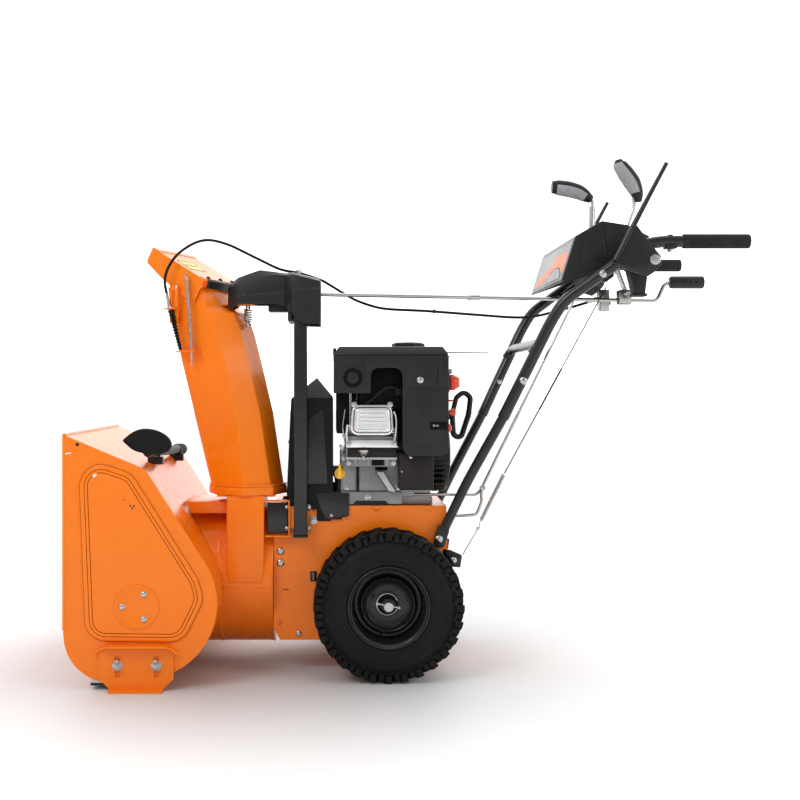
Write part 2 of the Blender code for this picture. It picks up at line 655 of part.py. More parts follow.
# ---------------------------------------------------------------- frame and wheels
def build_frame():
    outline = [(FRAME_FRONT, 0.10), (FRAME_FRONT, FRAME_TOP), (FRAME_REAR - 0.002, FRAME_TOP),
               (FRAME_REAR, 0.30), (FRAME_REAR, FRAME_LOW), (FRAME_FRONT + 0.015, FRAME_LOW)]
    inner = FRAME_HALF - SHEET
    hollow = box((FRAME_FRONT + SHEET, -inner, FRAME_LOW + SHEET), (0.2, inner, FRAME_TOP - SHEET))
    piece("frame_body", prism(outline, "y", -FRAME_HALF, FRAME_HALF), "orange_paint",
          cut=[hollow, box((-0.29, -0.095, 0.36), (-0.175, 0.095, 0.40)),
               rod("y", (AXLE[0], 0, AXLE[1]), -0.2, 0.2, 0.0125),
               rod("x", (0, 0, IMPELLER_Z), -0.32, -0.28, 0.0125)])


def build_wheels():
    centre = (AXLE[0], 0, AXLE[1])
    piece("axle", rod("y", centre, -0.246, 0.246, SHAFT_RADIUS), "zinc_steel", origin=centre)
    rim = [(-0.0495, 0.0905), (-0.0470, 0.0905), (-0.0425, 0.0815), (0.0430, 0.0815), (0.0475, 0.0905),
           (0.0500, 0.0905), (0.0455, 0.0780), (-0.0070, 0.0780), (-0.0070, 0.0600), (0.0090, 0.0555),
           (0.0090, 0.0190), (0.0250, 0.0175), (0.0250, SHAFT_BORE), (-0.0270, SHAFT_BORE), (-0.0270, 0.0175),
           (0.0055, 0.0175), (0.0055, 0.0530), (-0.0100, 0.0570), (-0.0100, 0.0780), (-0.0445, 0.0780)]
    half = [(0, TYRE_RADIUS), (0.0300, TYRE_RADIUS - 0.001), (0.0390, 0.1605), (0.0480, 0.1450),
            (0.0515, 0.1250), (0.0510, 0.1050), (0.0480, 0.0918), (0.0465, 0.0918), (0.0415, 0.0818)]
    tyre = half + [(-a, r) for a, r in half[:0:-1]]
    for side, sign in (("left", -1), ("right", 1)):
        middle = sign * WHEEL_MIDDLE
        piece(f"{side}_rim", lathe([(middle + sign * a, r) for a, r in rim], "y", centre, 28), "black_paint",
              origin=centre)
        piece(f"{side}_tyre", lathe([(middle + sign * a, r) for a, r in tyre], "y", centre, 40), "rubber",
              origin=centre)


# ---------------------------------------------------------------- engine
def build_engine():
    piece("engine_block", box((-0.150, -0.125, FRAME_TOP + GAP), (0.058, 0.125, 0.500), 0.004), "cast_aluminium",
          add=[box((-0.139, -0.170, 0.470), (-0.025, 0.100, 0.540), 0.003),
               box((-0.155, -0.120, FRAME_TOP + GAP), (0.062, 0.120, 0.396))])
    piece("valve_cover", box((-0.128, -0.197, 0.5405), (-0.031, -0.060, 0.610), 0.010, 3), "cast_aluminium")

    front, rear, top = -0.1660, 0.092, 0.741
    lobe = rounded([(rear, 0.600), (rear, 0.495), (-0.012, 0.495), (-0.012, 0.600)], 0.018)
    arch = rounded([(-0.012, 0.640), (-0.012, 0.695), (-0.082, 0.695), (-0.082, 0.637)], 0.012)
    outline = [(front, 0.637), (front, top), (rear, top), *lobe[:-1], *arch]
    wall = 0.003
    hollow = [(front + wall, 0.40), (front + wall, top - wall), (rear - wall, top - wall), (rear - wall, 0.40)]
    piece("engine_shroud", prism(outline, "y", -0.200, 0.150), "black_plastic",
          cut=[prism(hollow, "y", wall - 0.200, 0.150 - wall)])
    piece("recoil_housing", rod("x", (0, -0.025, 0.490), 0.0625, 0.110, 0.085, 32), "black_plastic",
          cut=[box((0.05, -0.21, 0.4945), (0.0925, 0.16, 0.60))])
    piece("muffler", box((-0.125, 0.1510, 0.545), (0.035, 0.215, 0.690), 0.012, 2), "black_paint")
    piece("oil_cap", rod("y", (-0.152, 0, 0.453), -0.158, -0.1253, 0.013), "yellow_plastic",
          origin=(-0.152, -0.14, 0.453), cut=[box((-0.20, -0.1255, 0.43), (-0.10, -0.12, 0.48))])
    piece("fuel_cap", rod("z", (0.010, -0.060, 0), top + GAP, 0.7555, 0.039, 24), "black_plastic",
          origin=(0.010, -0.060, 0.748))
    piece("choke_knob", rod("x", (0, -0.150, 0.6615), rear + GAP, 0.118, 0.0185, 16), "red_plastic",
          origin=(0.10, -0.150, 0.6615))
    piece("ignition_key", box((rear + GAP, -0.155, 0.586), (0.112, -0.145, 0.602)), "red_plastic",
          origin=(0.10, -0.150, 0.594))
    loop = rounded([(0.118, -0.030, 0.585), (0.118, -0.030, 0.634), (0.138, -0.030, 0.642), (0.148, -0.030, 0.585),
                    (0.138, -0.030, 0.528), (0.118, -0.030, 0.536), (0.118, -0.030, 0.585)], 0.010, 3)
    piece("starter_handle", sweep(loop[:-1], 0.0055, 8, closed=True), "black_plastic", origin=(0.12, -0.03, 0.585))


# ---------------------------------------------------------------- handlebars and controls
def build_handlebars():
    lower_path = rounded(LOWER_HANDLE, 0.03)
    upper_path = rounded(UPPER_HANDLE, 0.02)
    for side, path_of in (("left", mirrored), ("right", list)):
        lower = path_of(lower_path)
        upper = path_of(upper_path)
        piece(f"{side}_lower_handle", sweep(lower, LOWER_TUBE, 12), "black_paint")
        sleeve = sweep([*lower[:-1], tuple(Vector(lower[-1]) * 1.5 - Vector(lower[-2]) * 0.5)], LOWER_TUBE + 0.0005, 12)
        piece(f"{side}_upper_handle", sweep(upper, UPPER_TUBE, 12), "black_paint", cut=[sleeve])
        y = upper[-1][1]
        profile = [(0.6007, UPPER_TUBE + 0.0006), (0.6007, GRIP_RADIUS), (0.7440, GRIP_RADIUS), (0.7468, 0.013),
                   (0.7468, 0), (0.7425, 0), (0.7425, UPPER_TUBE + 0.0006)]
        piece(f"{side}_grip", lathe(profile, "x", (0, y, HANDLE_Z), 20), "grip_foam")
    piece("handle_brace", rod("y", (0.296, 0, 0.748), -0.1815, 0.1815, 0.0125, 14), "black_paint")


def build_dash():
    outline = [(0.345, 0.887), (0.377, 0.9905), (0.436, 1.024), (0.493, 1.015), (0.542, 0.990), (0.540, 0.955),
               (0.453, 0.925)]
    hollow = [(0.349, 0.860), (0.3795, 0.988), (0.4365, 1.0205), (0.4925, 1.0117), (0.5385, 0.988), (0.537, 0.860)]
    slots = []
    for x, y, _ in (SPEED_PIVOT, CHUTE_LEVER_PIVOT):
        middle = x + (0.012 if y < 0 else 0.001)
        slots.append(box((middle - 0.026, y - 0.008, 0.98), (middle + 0.026, y + 0.008, 1.05)))
    piece("dash_body", prism(outline, "y", -0.195, 0.195), "black_plastic",
          cut=[prism(hollow, "y", -0.192, 0.192), *slots])

    x, y, z = SPEED_PIVOT
    stem = rounded([(x, y, z), (x + 0.013, y, 1.0328), (x + 0.0297, y, 1.079), (x + 0.020, y, 1.118)], 0.01)
    grip = hull([(x + dx, y + dy, dz) for dx, dz, half in
                 ((0.022, 1.086, 0.012), (0.043, 1.094, 0.012), (0.042, 1.118, 0.015), (0.026, 1.152, 0.017),
                  (-0.004, 1.191, 0.013), (-0.027, 1.160, 0.013), (-0.024, 1.150, 0.014), (0.008, 1.110, 0.014))
                 for dy in (-half, half)])
    piece("speed_lever", sweep(stem, 0.0045, 8), "zinc_steel", add=[grip], origin=SPEED_PIVOT)

    x, y, z = CHUTE_LEVER_PIVOT
    stem = rounded([(x, y, z), (x + 0.004, y, 1.100), (x - 0.010, y, 1.120)], 0.01)
    grip = hull([(x + dx, y + dy, dz) for dx, dz, half in
                 ((0.004, 1.128, 0.012), (0.003, 1.111, 0.011), (-0.010, 1.110, 0.012), (-0.045, 1.121, 0.014),
                  (-0.098, 1.127, 0.014), (-0.101, 1.152, 0.013), (-0.062, 1.154, 0.016), (-0.020, 1.142, 0.014))
                 for dy in (-half, half)])
    piece("deflector_lever", sweep(stem, 0.0050, 8), "zinc_steel", add=[grip], origin=CHUTE_LEVER_PIVOT)

    plate = [(0.4456, 0.9254), (0.490, 1.0025), (0.527, 0.950), (0.5445, 0.938), (0.5445, 0.918), (0.534, 0.904),
             (0.518, 0.892), (0.4717, 0.9147)]
    for side, sign in (("left", -1), ("right", 1)):
        y = sign * LEVER_Y
        low, high = sorted((y - 0.0015, y + 0.0015))
        arm = sweep([(0.4456, y, 0.9254), (0.5587, y, 1.138)], 0.0042, 8)
        piece(f"{side}_clutch_lever", prism(plate, "y", low, high), "black_paint", add=[arm],
              origin=(LEVER_PIVOT[0], y, LEVER_PIVOT[1]))


def build_cleanout_tool():
    """A scoop on a long handle, clipped across the top of the housing near its rear corner."""
    x, z = -0.573, 0.5015
    stick = rod("y", (x, 0, z), -0.270, 0.235, 0.011, 12)
    scoop = hull([(x - 0.040, -0.262, z + 0.012), (x + 0.036, -0.262, z + 0.012), (x - 0.030, -0.262, z + 0.045),
                  (x + 0.020, -0.262, z + 0.048), (x - 0.043, -0.305, z - 0.004), (x + 0.043, -0.305, z - 0.012),
                  (x - 0.030, -0.305, z + 0.044), (x + 0.028, -0.305, z + 0.044)])
    piece("clean_out_tool", stick, "black_plastic", add=[scoop], origin=(x, 0, z))


clear_scene()
MATERIALS = {name: make_material(name) for name in FINISHES}
build_housing()
build_skid_shoes()
build_auger()
build_drum()
build_impeller()
build_belt_drive()
build_belt_cover()
build_chute()
build_gear_cover()
build_crank()
build_cables()
build_frame()
build_wheels()
build_engine()
build_handlebars()
build_dash()
build_cleanout_tool()
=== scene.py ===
"""Looks of the two-stage snow blower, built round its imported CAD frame.

Metres, +Z up, ground at Z 0. -X is the front (auger), +X the operator's side, -Y the machine's left.
"""

import json
from math import acos, atan2, cos, pi, radians, sin, sqrt

import bmesh
import bpy
from mathutils import Matrix, Vector


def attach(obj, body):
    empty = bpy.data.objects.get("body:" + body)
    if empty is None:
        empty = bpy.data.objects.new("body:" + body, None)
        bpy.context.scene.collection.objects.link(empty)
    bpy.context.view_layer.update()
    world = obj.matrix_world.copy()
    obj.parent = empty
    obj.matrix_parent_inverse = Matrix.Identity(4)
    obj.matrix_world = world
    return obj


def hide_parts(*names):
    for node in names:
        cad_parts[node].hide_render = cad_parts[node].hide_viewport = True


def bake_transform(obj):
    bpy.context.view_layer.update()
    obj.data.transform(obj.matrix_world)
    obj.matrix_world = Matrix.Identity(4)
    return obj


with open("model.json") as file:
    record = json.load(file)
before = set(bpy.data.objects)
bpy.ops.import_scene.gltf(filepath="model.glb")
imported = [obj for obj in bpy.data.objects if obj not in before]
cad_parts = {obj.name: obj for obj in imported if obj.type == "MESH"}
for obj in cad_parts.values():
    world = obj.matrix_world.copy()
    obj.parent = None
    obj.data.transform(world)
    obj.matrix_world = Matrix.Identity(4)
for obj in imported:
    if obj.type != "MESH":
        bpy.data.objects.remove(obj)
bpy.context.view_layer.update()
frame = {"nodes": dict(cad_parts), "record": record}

# ---------------------------------------------------------------- places shared with the CAD model
HALF_WIDTH = 0.31
# X and Z of the auger's shaft
AUGER = (-0.588, 0.1805)
IMPELLER_Z = 0.21
DRUM_RADIUS = 0.165
# X and Y of the axis that the chute turns on
CHUTE_AXIS = (-0.366, -0.085)
CHUTE_TURN = radians(25)
FRAME_SIDE = 0.145
# X and Z of the wheels' axle
AXLE = (-0.045, 0.1666)
TYRE_RADIUS = 0.1666
WHEEL_MIDDLE = 0.207
UPPER_TUBE = 0.013
LOWER_TUBE = 0.011
GRIP_RADIUS = 0.0158
HANDLE_Z = 0.971
# middle lines of the right-hand tubes
LOWER_HANDLE = ((0.071, 0.1566, 0.298), (0.138, 0.16, 0.437), (0.216, 0.178, 0.581), (0.259, 0.187, 0.665))
UPPER_HANDLE = ((0.216, 0.178, 0.581), (0.32, 0.202, 0.798), (0.348, 0.208, 0.844), (0.4475, 0.229, 0.916),
                (0.509, 0.243, 0.963), (0.552, 0.25, HANDLE_Z), (0.742, 0.25, HANDLE_Z))
# X and Z of the clutch levers' pivot, and the Y of the right lever
LEVER_PIVOT = (0.533, 0.9285)
LEVER_Y = 0.268
CRANK_Y = -0.08
# X and Z of the two ends of the straight rod
CRANK_FRONT = (-0.385, 0.8716)
CRANK_REAR = (0.592, 0.853)
CRANK_HANDLE_Z = 0.8965
SPEED_PIVOT = (0.515, -0.06, 0.965)
CHUTE_LEVER_PIVOT = (0.468, 0.06, 0.965)
CABLE_RADIUS = 0.0032
# the deflector cable's rear half, which ends at the dash
CABLE_REAR_ROUTE = ((-0.248, -0.028, 0.924), (-0.199, -0.028, 0.908), (-0.174, -0.034, 0.894),
                    (-0.149, -0.042, 0.878), (-0.113, -0.05, 0.857), (-0.068, -0.055, 0.841),
                    (-0.028, -0.055, 0.835), (0.054, -0.055, 0.831), (0.161, -0.055, 0.823),
                    (0.261, -0.055, 0.816), (0.311, -0.055, 0.819), (0.351, -0.055, 0.828),
                    (0.4, -0.055, 0.841), (0.436, -0.055, 0.852))
# its front half, from the ferrule on the chute to the rear half
CABLE_FRONT_ROUTE = ((-0.553, -0.108, 0.867), (-0.557, -0.112, 0.896), (-0.55, -0.116, 0.924),
                     (-0.531, -0.118, 0.953), (-0.506, -0.116, 0.974), (-0.478, -0.108, 0.989),
                     (-0.449, -0.095, 0.993), (-0.411, -0.07, 0.985), (-0.375, -0.045, 0.97),
                     (-0.342, -0.03, 0.955), (-0.293, -0.028, 0.9325), (-0.2485, -0.028, 0.9243))


# ---------------------------------------------------------------- studio
# how strong the light is from the near side and from the far side
DIM_SIDE, BRIGHT_SIDE = 0.48, 1.72
# painted shadow on the floor: what share of its brightness the floor keeps under the machine, where, and
# from and to what distance
FLOOR_MIDDLE = 0.62
SHADE_CENTRE = (-0.3, 0.05, 0)
SHADE_REACH = (0.15, 1.15)

# directions on the machine, and its two sides with the sign of their Y
ORIGIN = (0, 0, 0)
LEFT = (0, -1, 0)
RIGHT = (0, 1, 0)
UP = (0, 0, 1)
DOWN = (0, 0, -1)
FORWARD = (-1, 0, 0)
BACK = (1, 0, 0)
SIDES = (("left", -1), ("right", 1))

# the colour sockets of a Mix node
COLOUR_A, COLOUR_B, COLOUR_RESULT = 6, 7, 2


# ---------------------------------------------------------------- materials
def finish_of(name, colour, roughness, metallic=0.0, coat=0.0, mottle=0.0, grain=0.0, grain_scale=900.0,
              bump=0.0, wear=0.0, wear_colour=(0.5, 0.5, 0.5), speckle=None, shine=0.5):
    """A node material with mottled colour, fine bump, varied roughness and paint thinned along its edges."""
    made = bpy.data.materials.new(name)
    made.use_nodes = True
    nodes, links = made.node_tree.nodes, made.node_tree.links
    shader = nodes["Principled BSDF"]
    shader.inputs["Metallic"].default_value = metallic
    shader.inputs["Coat Weight"].default_value = coat
    shader.inputs["Coat Roughness"].default_value = 0.08
    shader.inputs["Specular IOR Level"].default_value = shine
    coordinates = nodes.new("ShaderNodeTexCoord")

    def noise(scale, detail):
        made_noise = nodes.new("ShaderNodeTexNoise")
        made_noise.inputs["Scale"].default_value = scale
        made_noise.inputs["Detail"].default_value = detail
        links.new(coordinates.outputs["Object"], made_noise.inputs["Vector"])
        return made_noise.outputs["Fac"]

    def mix(factor, low, high):
        mixed = nodes.new("ShaderNodeMix")
        mixed.data_type = "RGBA"
        links.new(factor, mixed.inputs["Factor"])
        for socket, value in ((COLOUR_A, low), (COLOUR_B, high)):
            if isinstance(value, tuple):
                mixed.inputs[socket].default_value = (*value, 1.0)
            else:
                links.new(value, mixed.inputs[socket])
        return mixed.outputs[COLOUR_RESULT]

    def spread(value, low, high, out_low, out_high):
        mapped = nodes.new("ShaderNodeMapRange")
        for socket, number in (("From Min", low), ("From Max", high), ("To Min", out_low),
                               ("To Max", out_high)):
            mapped.inputs[socket].default_value = number
        links.new(value, mapped.inputs["Value"])
        return mapped.outputs["Result"]

    dark = tuple(c * (1 - mottle) for c in colour)
    pale = tuple(min(1.0, c * (1 + mottle)) for c in colour)
    shade = mix(spread(noise(scale=9.0, detail=4.0), 0.35, 0.65, 0.0, 1.0), dark, pale)
    if speckle:
        shade = mix(spread(noise(scale=700.0, detail=2.0), 0.52, 0.6, 0.0, 1.0), shade, speckle)
    if wear:
        edge = nodes.new("ShaderNodeNewGeometry")
        sharp = spread(edge.outputs["Pointiness"], 0.545, 0.6, 0.0, wear)
        shade = mix(sharp, shade, wear_colour)
    links.new(shade, shader.inputs["Base Color"])
    links.new(spread(noise(scale=45.0, detail=5.0), 0.3, 0.7, roughness * 0.85, roughness * 1.15),
              shader.inputs["Roughness"])
    if bump:
        raised = nodes.new("ShaderNodeBump")
        raised.inputs["Strength"].default_value = bump
        raised.inputs["Distance"].default_value = grain
        links.new(noise(grain_scale, detail=3.0), raised.inputs["Height"])
        links.new(raised.outputs["Normal"], shader.inputs["Normal"])
    return made


ORANGE = (0.95, 0.205, 0.003)
# name: colour, roughness, and what else finish_of takes
FINISHES = {"orange_paint": (ORANGE, 0.28,
                             dict(coat=0.14, mottle=0.02, grain=0.0003, grain_scale=260.0, bump=0.004,
                                  wear=0.25, wear_colour=(1.0, 0.3, 0.03), shine=0.28)),
            "black_paint": ((0.011, 0.011, 0.0115), 0.28,
                            dict(coat=0.2, mottle=0.08, grain=0.0003, grain_scale=420.0, bump=0.06,
                                 shine=0.35)),
            "black_plastic": ((0.011, 0.011, 0.0115), 0.44,
                              dict(mottle=0.06, grain=0.0003, grain_scale=1500.0, bump=0.25, shine=0.35)),
            "rubber": ((0.0045, 0.0045, 0.0048), 0.6,
                       dict(mottle=0.2, grain=0.0004, grain_scale=700.0, bump=0.25, shine=0.22)),
            "grip_foam": ((0.012, 0.012, 0.0125), 0.8,
                          dict(mottle=0.1, grain=0.0005, grain_scale=1800.0, bump=0.45, shine=0.3)),
            "cast_grey": ((0.27, 0.27, 0.275), 0.46,
                          dict(metallic=0.6, mottle=0.15, grain=0.0005, grain_scale=420.0, bump=0.4)),
            "bright_casting": ((0.86, 0.86, 0.87), 0.3,
                               dict(metallic=1.0, mottle=0.05, grain=0.0004, grain_scale=420.0, bump=0.12)),
            "zinc_steel": ((0.52, 0.51, 0.49), 0.28,
                           dict(metallic=1.0, mottle=0.08, grain=0.0002, grain_scale=600.0, bump=0.08)),
            "cast_aluminium": ((0.5, 0.5, 0.51), 0.42,
                               dict(metallic=1.0, mottle=0.12, grain=0.0005, grain_scale=420.0, bump=0.35)),
            "yellow_plastic": ((0.92, 0.5, 0.015), 0.34,
                               dict(coat=0.2, mottle=0.03, grain=0.0002, grain_scale=900.0, bump=0.08)),
            "red_plastic": ((0.8, 0.06, 0.012), 0.32,
                            dict(coat=0.2, mottle=0.03, grain=0.0002, grain_scale=900.0, bump=0.08)),
            "grip_insert": ((0.42, 0.42, 0.44), 0.85,
                            dict(mottle=0.08, grain=0.0006, grain_scale=1300.0, bump=0.5,
                                 speckle=(0.2, 0.2, 0.215))),
            "panel_grey": ((0.3, 0.3, 0.31), 0.45,
                           dict(mottle=0.05, grain=0.0002, grain_scale=1200.0, bump=0.1)),
            "panel_orange": ((0.9, 0.16, 0.03), 0.4,
                             dict(mottle=0.04, grain=0.0002, grain_scale=1200.0, bump=0.06)),
            "panel_pale": ((0.8, 0.78, 0.76), 0.5,
                           dict(mottle=0.02, grain=0.0002, grain_scale=900.0, bump=0.05)),
            "sticker_yellow": ((0.85, 0.62, 0.03), 0.4,
                               dict(mottle=0.03, grain=0.0001, grain_scale=1200.0, bump=0.05)),
            "dark_engine": ((0.011, 0.008, 0.007), 0.38,
                            dict(mottle=0.2, grain=0.0004, grain_scale=500.0, bump=0.25, shine=0.3)),
            "dark_cover": ((0.0055, 0.0055, 0.006), 0.42,
                           dict(mottle=0.06, grain=0.0003, grain_scale=900.0, bump=0.12, shine=0.18)),
            "deep_black": ((0.003, 0.003, 0.003), 0.6,
                           dict(mottle=0.2, grain=0.0003, grain_scale=900.0, bump=0.2, shine=0.12)),
            # dark brown painted as the shade inside pressed grooves
            "painted_groove_shade": ((0.2, 0.035, 0.002), 0.5,
                             dict(mottle=0.15, grain=0.0002, grain_scale=700.0, bump=0.1, shine=0.2))}
MATERIALS = {name: finish_of(name, colour, roughness, **more)
             for name, (colour, roughness, more) in FINISHES.items()}


# ---------------------------------------------------------------- shape helpers
def arc(centre, radius, start, end, steps):
    """Points of an arc from one angle to another, in degrees."""
    angles = [radians(start + (end - start) * i / steps) for i in range(steps + 1)]
    return [(centre[0] + radius * cos(a), centre[1] + radius * sin(a)) for a in angles]


def rounded(points, reach, steps=6):
    """An open path of 2-D or 3-D points with each inner corner replaced by a short curve."""
    points = [Vector(p) for p in points]
    out = [points[0]]
    for before, corner, after in zip(points, points[1:], points[2:]):
        cut = min(reach, 0.45 * (corner - before).length, 0.45 * (after - corner).length)
        start = corner + (before - corner).normalized() * cut
        end = corner + (after - corner).normalized() * cut
        for i in range(steps + 1):
            t = i / steps
            out.append(start * (1 - t) ** 2 + corner * 2 * t * (1 - t) + end * t**2)
    out.append(points[-1])
    return [tuple(p) for p in out]


def rounded_loop(points, radius, grow=0.0, steps=6):
    """A closed 2-D outline with true arcs at its corners, moved outward by grow."""
    points = [Vector(p) for p in points]
    area = sum(a.x * b.y - b.x * a.y for a, b in zip(points, points[1:] + points[:1]))
    if area < 0:
        points.reverse()
    out = []
    for i, corner in enumerate(points):
        before = (points[i - 1] - corner).normalized()
        after = (points[(i + 1) % len(points)] - corner).normalized()
        half = acos(max(-1.0, min(1.0, before.dot(after)))) / 2
        centre = corner + (before + after).normalized() * radius / sin(half)
        out_before, out_after = Vector((before.y, -before.x)), Vector((-after.y, after.x))
        start, end = atan2(-out_before.y, -out_before.x), atan2(-out_after.y, -out_after.x)
        while end < start:
            end += 2 * pi
        if end - start > pi:
            start, end = end - 2 * pi, start
        for k in range(steps + 1):
            angle = start + (end - start) * k / steps
            out.append((centre.x + (radius + grow) * cos(angle), centre.y + (radius + grow) * sin(angle)))
    return out


def smooth_route(points, per_span=8):
    """Points of a Catmull-Rom curve through the route's own points."""
    points = [Vector(p) for p in points]
    points = [points[0] * 2 - points[1], *points, points[-1] * 2 - points[-2]]
    out = []
    for a, b, c, d in zip(points, points[1:], points[2:], points[3:]):
        for i in range(per_span):
            t = i / per_span
            out.append(0.5 * (2 * b + (c - a) * t + (
                                  2 * a - 5 * b + 4 * c - d) * t**2 + (3 * b - a - 3 * c + d) * t**3))
    out.append(points[-2])
    return out


def mirrored(points):
    """The same points on the other side of the machine."""
    return [(x, -y, z) for x, y, z in points]


def new_solid(faces_of):
    """A bmesh filled by the given function, with its faces pointing out."""
    bm = bmesh.new()
    faces_of(bm)
    bmesh.ops.recalc_face_normals(bm, faces=bm.faces)
    return bm


def join_rings(bm, rings):
    """The quads between each closed ring of vertices and the next."""
    for a, b in zip(rings, rings[1:]):
        for k in range(len(a)):
            j = (k + 1) % len(a)
            bm.faces.new((a[k], a[j], b[j], b[k]))


def on_axis(axis, a, b, t):
    """A point with a and b across an axis and t along it: y, z across x; x, z across y; x, y across z."""
    return {"x": (t, a, b), "y": (a, t, b), "z": (a, b, t)}[axis]


def prism(outline, axis, low, high):
    """An outline across an axis, extruded between two places along it."""
    def faces(bm):
        rings = [[bm.verts.new(on_axis(axis, a, b, t)) for a, b in outline] for t in (low, high)]
        count = len(outline)
        for i in range(count):
            j = (i + 1) % count
            bm.faces.new((rings[0][i], rings[0][j], rings[1][j], rings[1][i]))
        bm.faces.new(rings[0])
        bm.faces.new(rings[1][::-1])

    return new_solid(faces)


def soft(bm, width=0.0012, segments=2, angle=30):
    """The shape with its sharp edges rounded."""
    edges = [e for e in bm.edges if len(e.link_faces) == 2 and e.calc_face_angle(0) > radians(angle)]
    bmesh.ops.bevel(bm, geom=edges, offset=width, segments=segments, affect="EDGES", profile=0.5,
                    clamp_overlap=True)
    return bm


def box(low, high, bevel=0.001, segments=2):
    """A block between two corners, with rounded edges."""
    (x0, y0, z0), (x1, y1, z1) = low, high
    bm = prism([(x0, y0), (x1, y0), (x1, y1), (x0, y1)], "z", z0, z1)
    return soft(bm, bevel, segments) if bevel else bm


def on_side(sign, near, far):
    """Two distances from the middle plane as ordered Y values of one side."""
    return sorted((sign * near, sign * far))


def pressing(outline, corner, depths, edge, segments=2, steps=3):
    """A plate across Y between two depths: an outline with rounded corners and softened edges."""
    return soft(prism(rounded_loop(outline, corner, steps=steps), "y", *depths), edge, segments)


def rectangle(x0, z0, x1, z1):
    """The four corners of an upright rectangle in X and Z."""
    return [(x0, z0), (x1, z0), (x1, z1), (x0, z1)]


def hull(points):
    """The convex hull of some points."""
    def faces(bm):
        for point in points:
            bm.verts.new(point)
        bmesh.ops.convex_hull(bm, input=bm.verts)
        loose = [v for v in bm.verts if not v.link_faces]
        bmesh.ops.delete(bm, geom=loose, context="VERTS")

    return new_solid(faces)


def lathe(profile, axis, centre, segments=32):
    """A closed profile of (along, radius) points turned about an axis through the centre."""
    frame_of = {"x": (0, 1, 2), "y": (1, 0, 2), "z": (2, 0, 1)}[axis]

    def point(along, radius, angle):
        out = list(centre)
        out[frame_of[0]] += along
        out[frame_of[1]] += radius * cos(angle)
        out[frame_of[2]] += radius * sin(angle)
        return out

    def faces(bm):
        rings = []
        for along, radius in profile:
            if radius < 1e-9:
                rings.append([bm.verts.new(point(along, 0, 0))] * segments)
            else:
                rings.append([bm.verts.new(point(along, radius, 2 * pi * i / segments))
                              for i in range(segments)])
        for a, b in zip(rings, rings[1:] + rings[:1]):
            for i in range(segments):
                corners = []
                for vert in (a[i], a[(i + 1) % segments], b[(i + 1) % segments], b[i]):
                    if vert not in corners:
                        corners.append(vert)
                if len(corners) > 2:
                    bm.faces.new(corners)

    return new_solid(faces)


def rod(axis, centre, low, high, radius, segments=24, edge=0.0008):
    """A cylinder along an axis with small rounded edges."""
    edge = min(edge, radius * 0.4, abs(high - low) * 0.3)
    profile = [(low, 0), (low, radius - edge), (low + edge * 0.3, radius - edge * 0.3), (low + edge, radius),
               (high - edge, radius), (high - edge * 0.3, radius - edge * 0.3), (high, radius - edge),
               (high, 0)]
    return lathe(profile, axis, centre, segments)


def frames_along(path, closed=False):
    """(point, across, up) at each point of a path, without twist."""
    path = [Vector(p) for p in path]
    count = len(path)
    across = None
    out = []
    for i, point in enumerate(path):
        if closed:
            along = (path[(i + 1) % count] - path[i - 1]).normalized()
        else:
            along = (path[min(i + 1, count - 1)] - path[max(i - 1, 0)]).normalized()
        if across is None:
            across = along.orthogonal().normalized()
        across = (across - along * across.dot(along)).normalized()
        out.append((point, across, along.cross(across)))
    return out


def sweep(path, radius, sides=12, closed=False, flat=1.0):
    """A round bar along a path. The radius is a number, or one for each point."""
    radii = radius if isinstance(radius, (list, tuple)) else [radius] * len(path)

    def faces(bm):
        rings = []
        for (point, across, up), r in zip(frames_along(path, closed), radii):
            angles = [2 * pi * k / sides for k in range(sides)]
            rings.append([bm.verts.new(point + r * (across * cos(a) * flat + up * sin(a))) for a in angles])
        join_rings(bm, rings + rings[:1] if closed else rings)
        if not closed:
            bm.faces.new(rings[0][::-1])
            bm.faces.new(rings[-1])

    return new_solid(faces)


def coil(start, end, radius, wire, turns, steps=14, sides=6):
    """A helical spring from start to end, with its ends closed down to hooks on the centre line."""
    start, end = Vector(start), Vector(end)
    along = (end - start).normalized()
    across = along.orthogonal().normalized()
    up = along.cross(across)
    path = []
    total = int(turns * steps)
    for i in range(total + 1):
        angle = 2 * pi * i / steps
        path.append(start + (end - start) * i / total + radius * (across * cos(angle) + up * sin(angle)))
    return sweep(path, wire, sides)


def place(bm, at, along, roll=0.0):
    """The shape, drawn up local +Z from the origin, put at a point and turned to a direction."""
    turn = Vector(UP).rotation_difference(Vector(along).normalized()).to_matrix().to_4x4()
    matrix = Matrix.Translation(at) @ turn @ Matrix.Rotation(roll, 4, "Z")
    bmesh.ops.transform(bm, matrix=matrix, verts=bm.verts)
    return bm


def hexagon(size):
    """A hexagon's corners, from its width across the flats."""
    return [(size / sqrt(3) * cos(pi / 3 * k), size / sqrt(3) * sin(pi / 3 * k)) for k in range(6)]


def hex_head(at, along, size=0.013, height=0.005, washer=0.0, roll=0.3):
    """A hex bolt head or nut on its flange or washer."""
    shapes = [place(soft(prism(hexagon(size), "z", 0, height), 0.0006), at, along, roll)]
    if washer:
        shapes.append(place(rod("z", ORIGIN, -0.0002, 0.0016, washer, 24, 0.0004), at, along))
    shapes.append(place(rod("z", ORIGIN, height - 0.001, height + 0.0015, size * 0.27, 12, 0.0004), at,
                        along))
    return shapes


def flange_nut(at, along, radius=0.011):
    """A nut with a wide round flange and the end of its bolt."""
    flange = [(0, 0), (0, radius), (0.0012, radius), (0.003, radius * 0.72), (0.003, 0)]
    shapes = [place(lathe(flange, "z", ORIGIN, 24), at, along)]
    shapes.append(place(soft(prism(hexagon(radius * 1.25), "z", 0.002, 0.0085), 0.0006), at, along, 0.2))
    shapes.append(place(rod("z", ORIGIN, 0.006, 0.0115, radius * 0.38, 14), at, along))
    return shapes


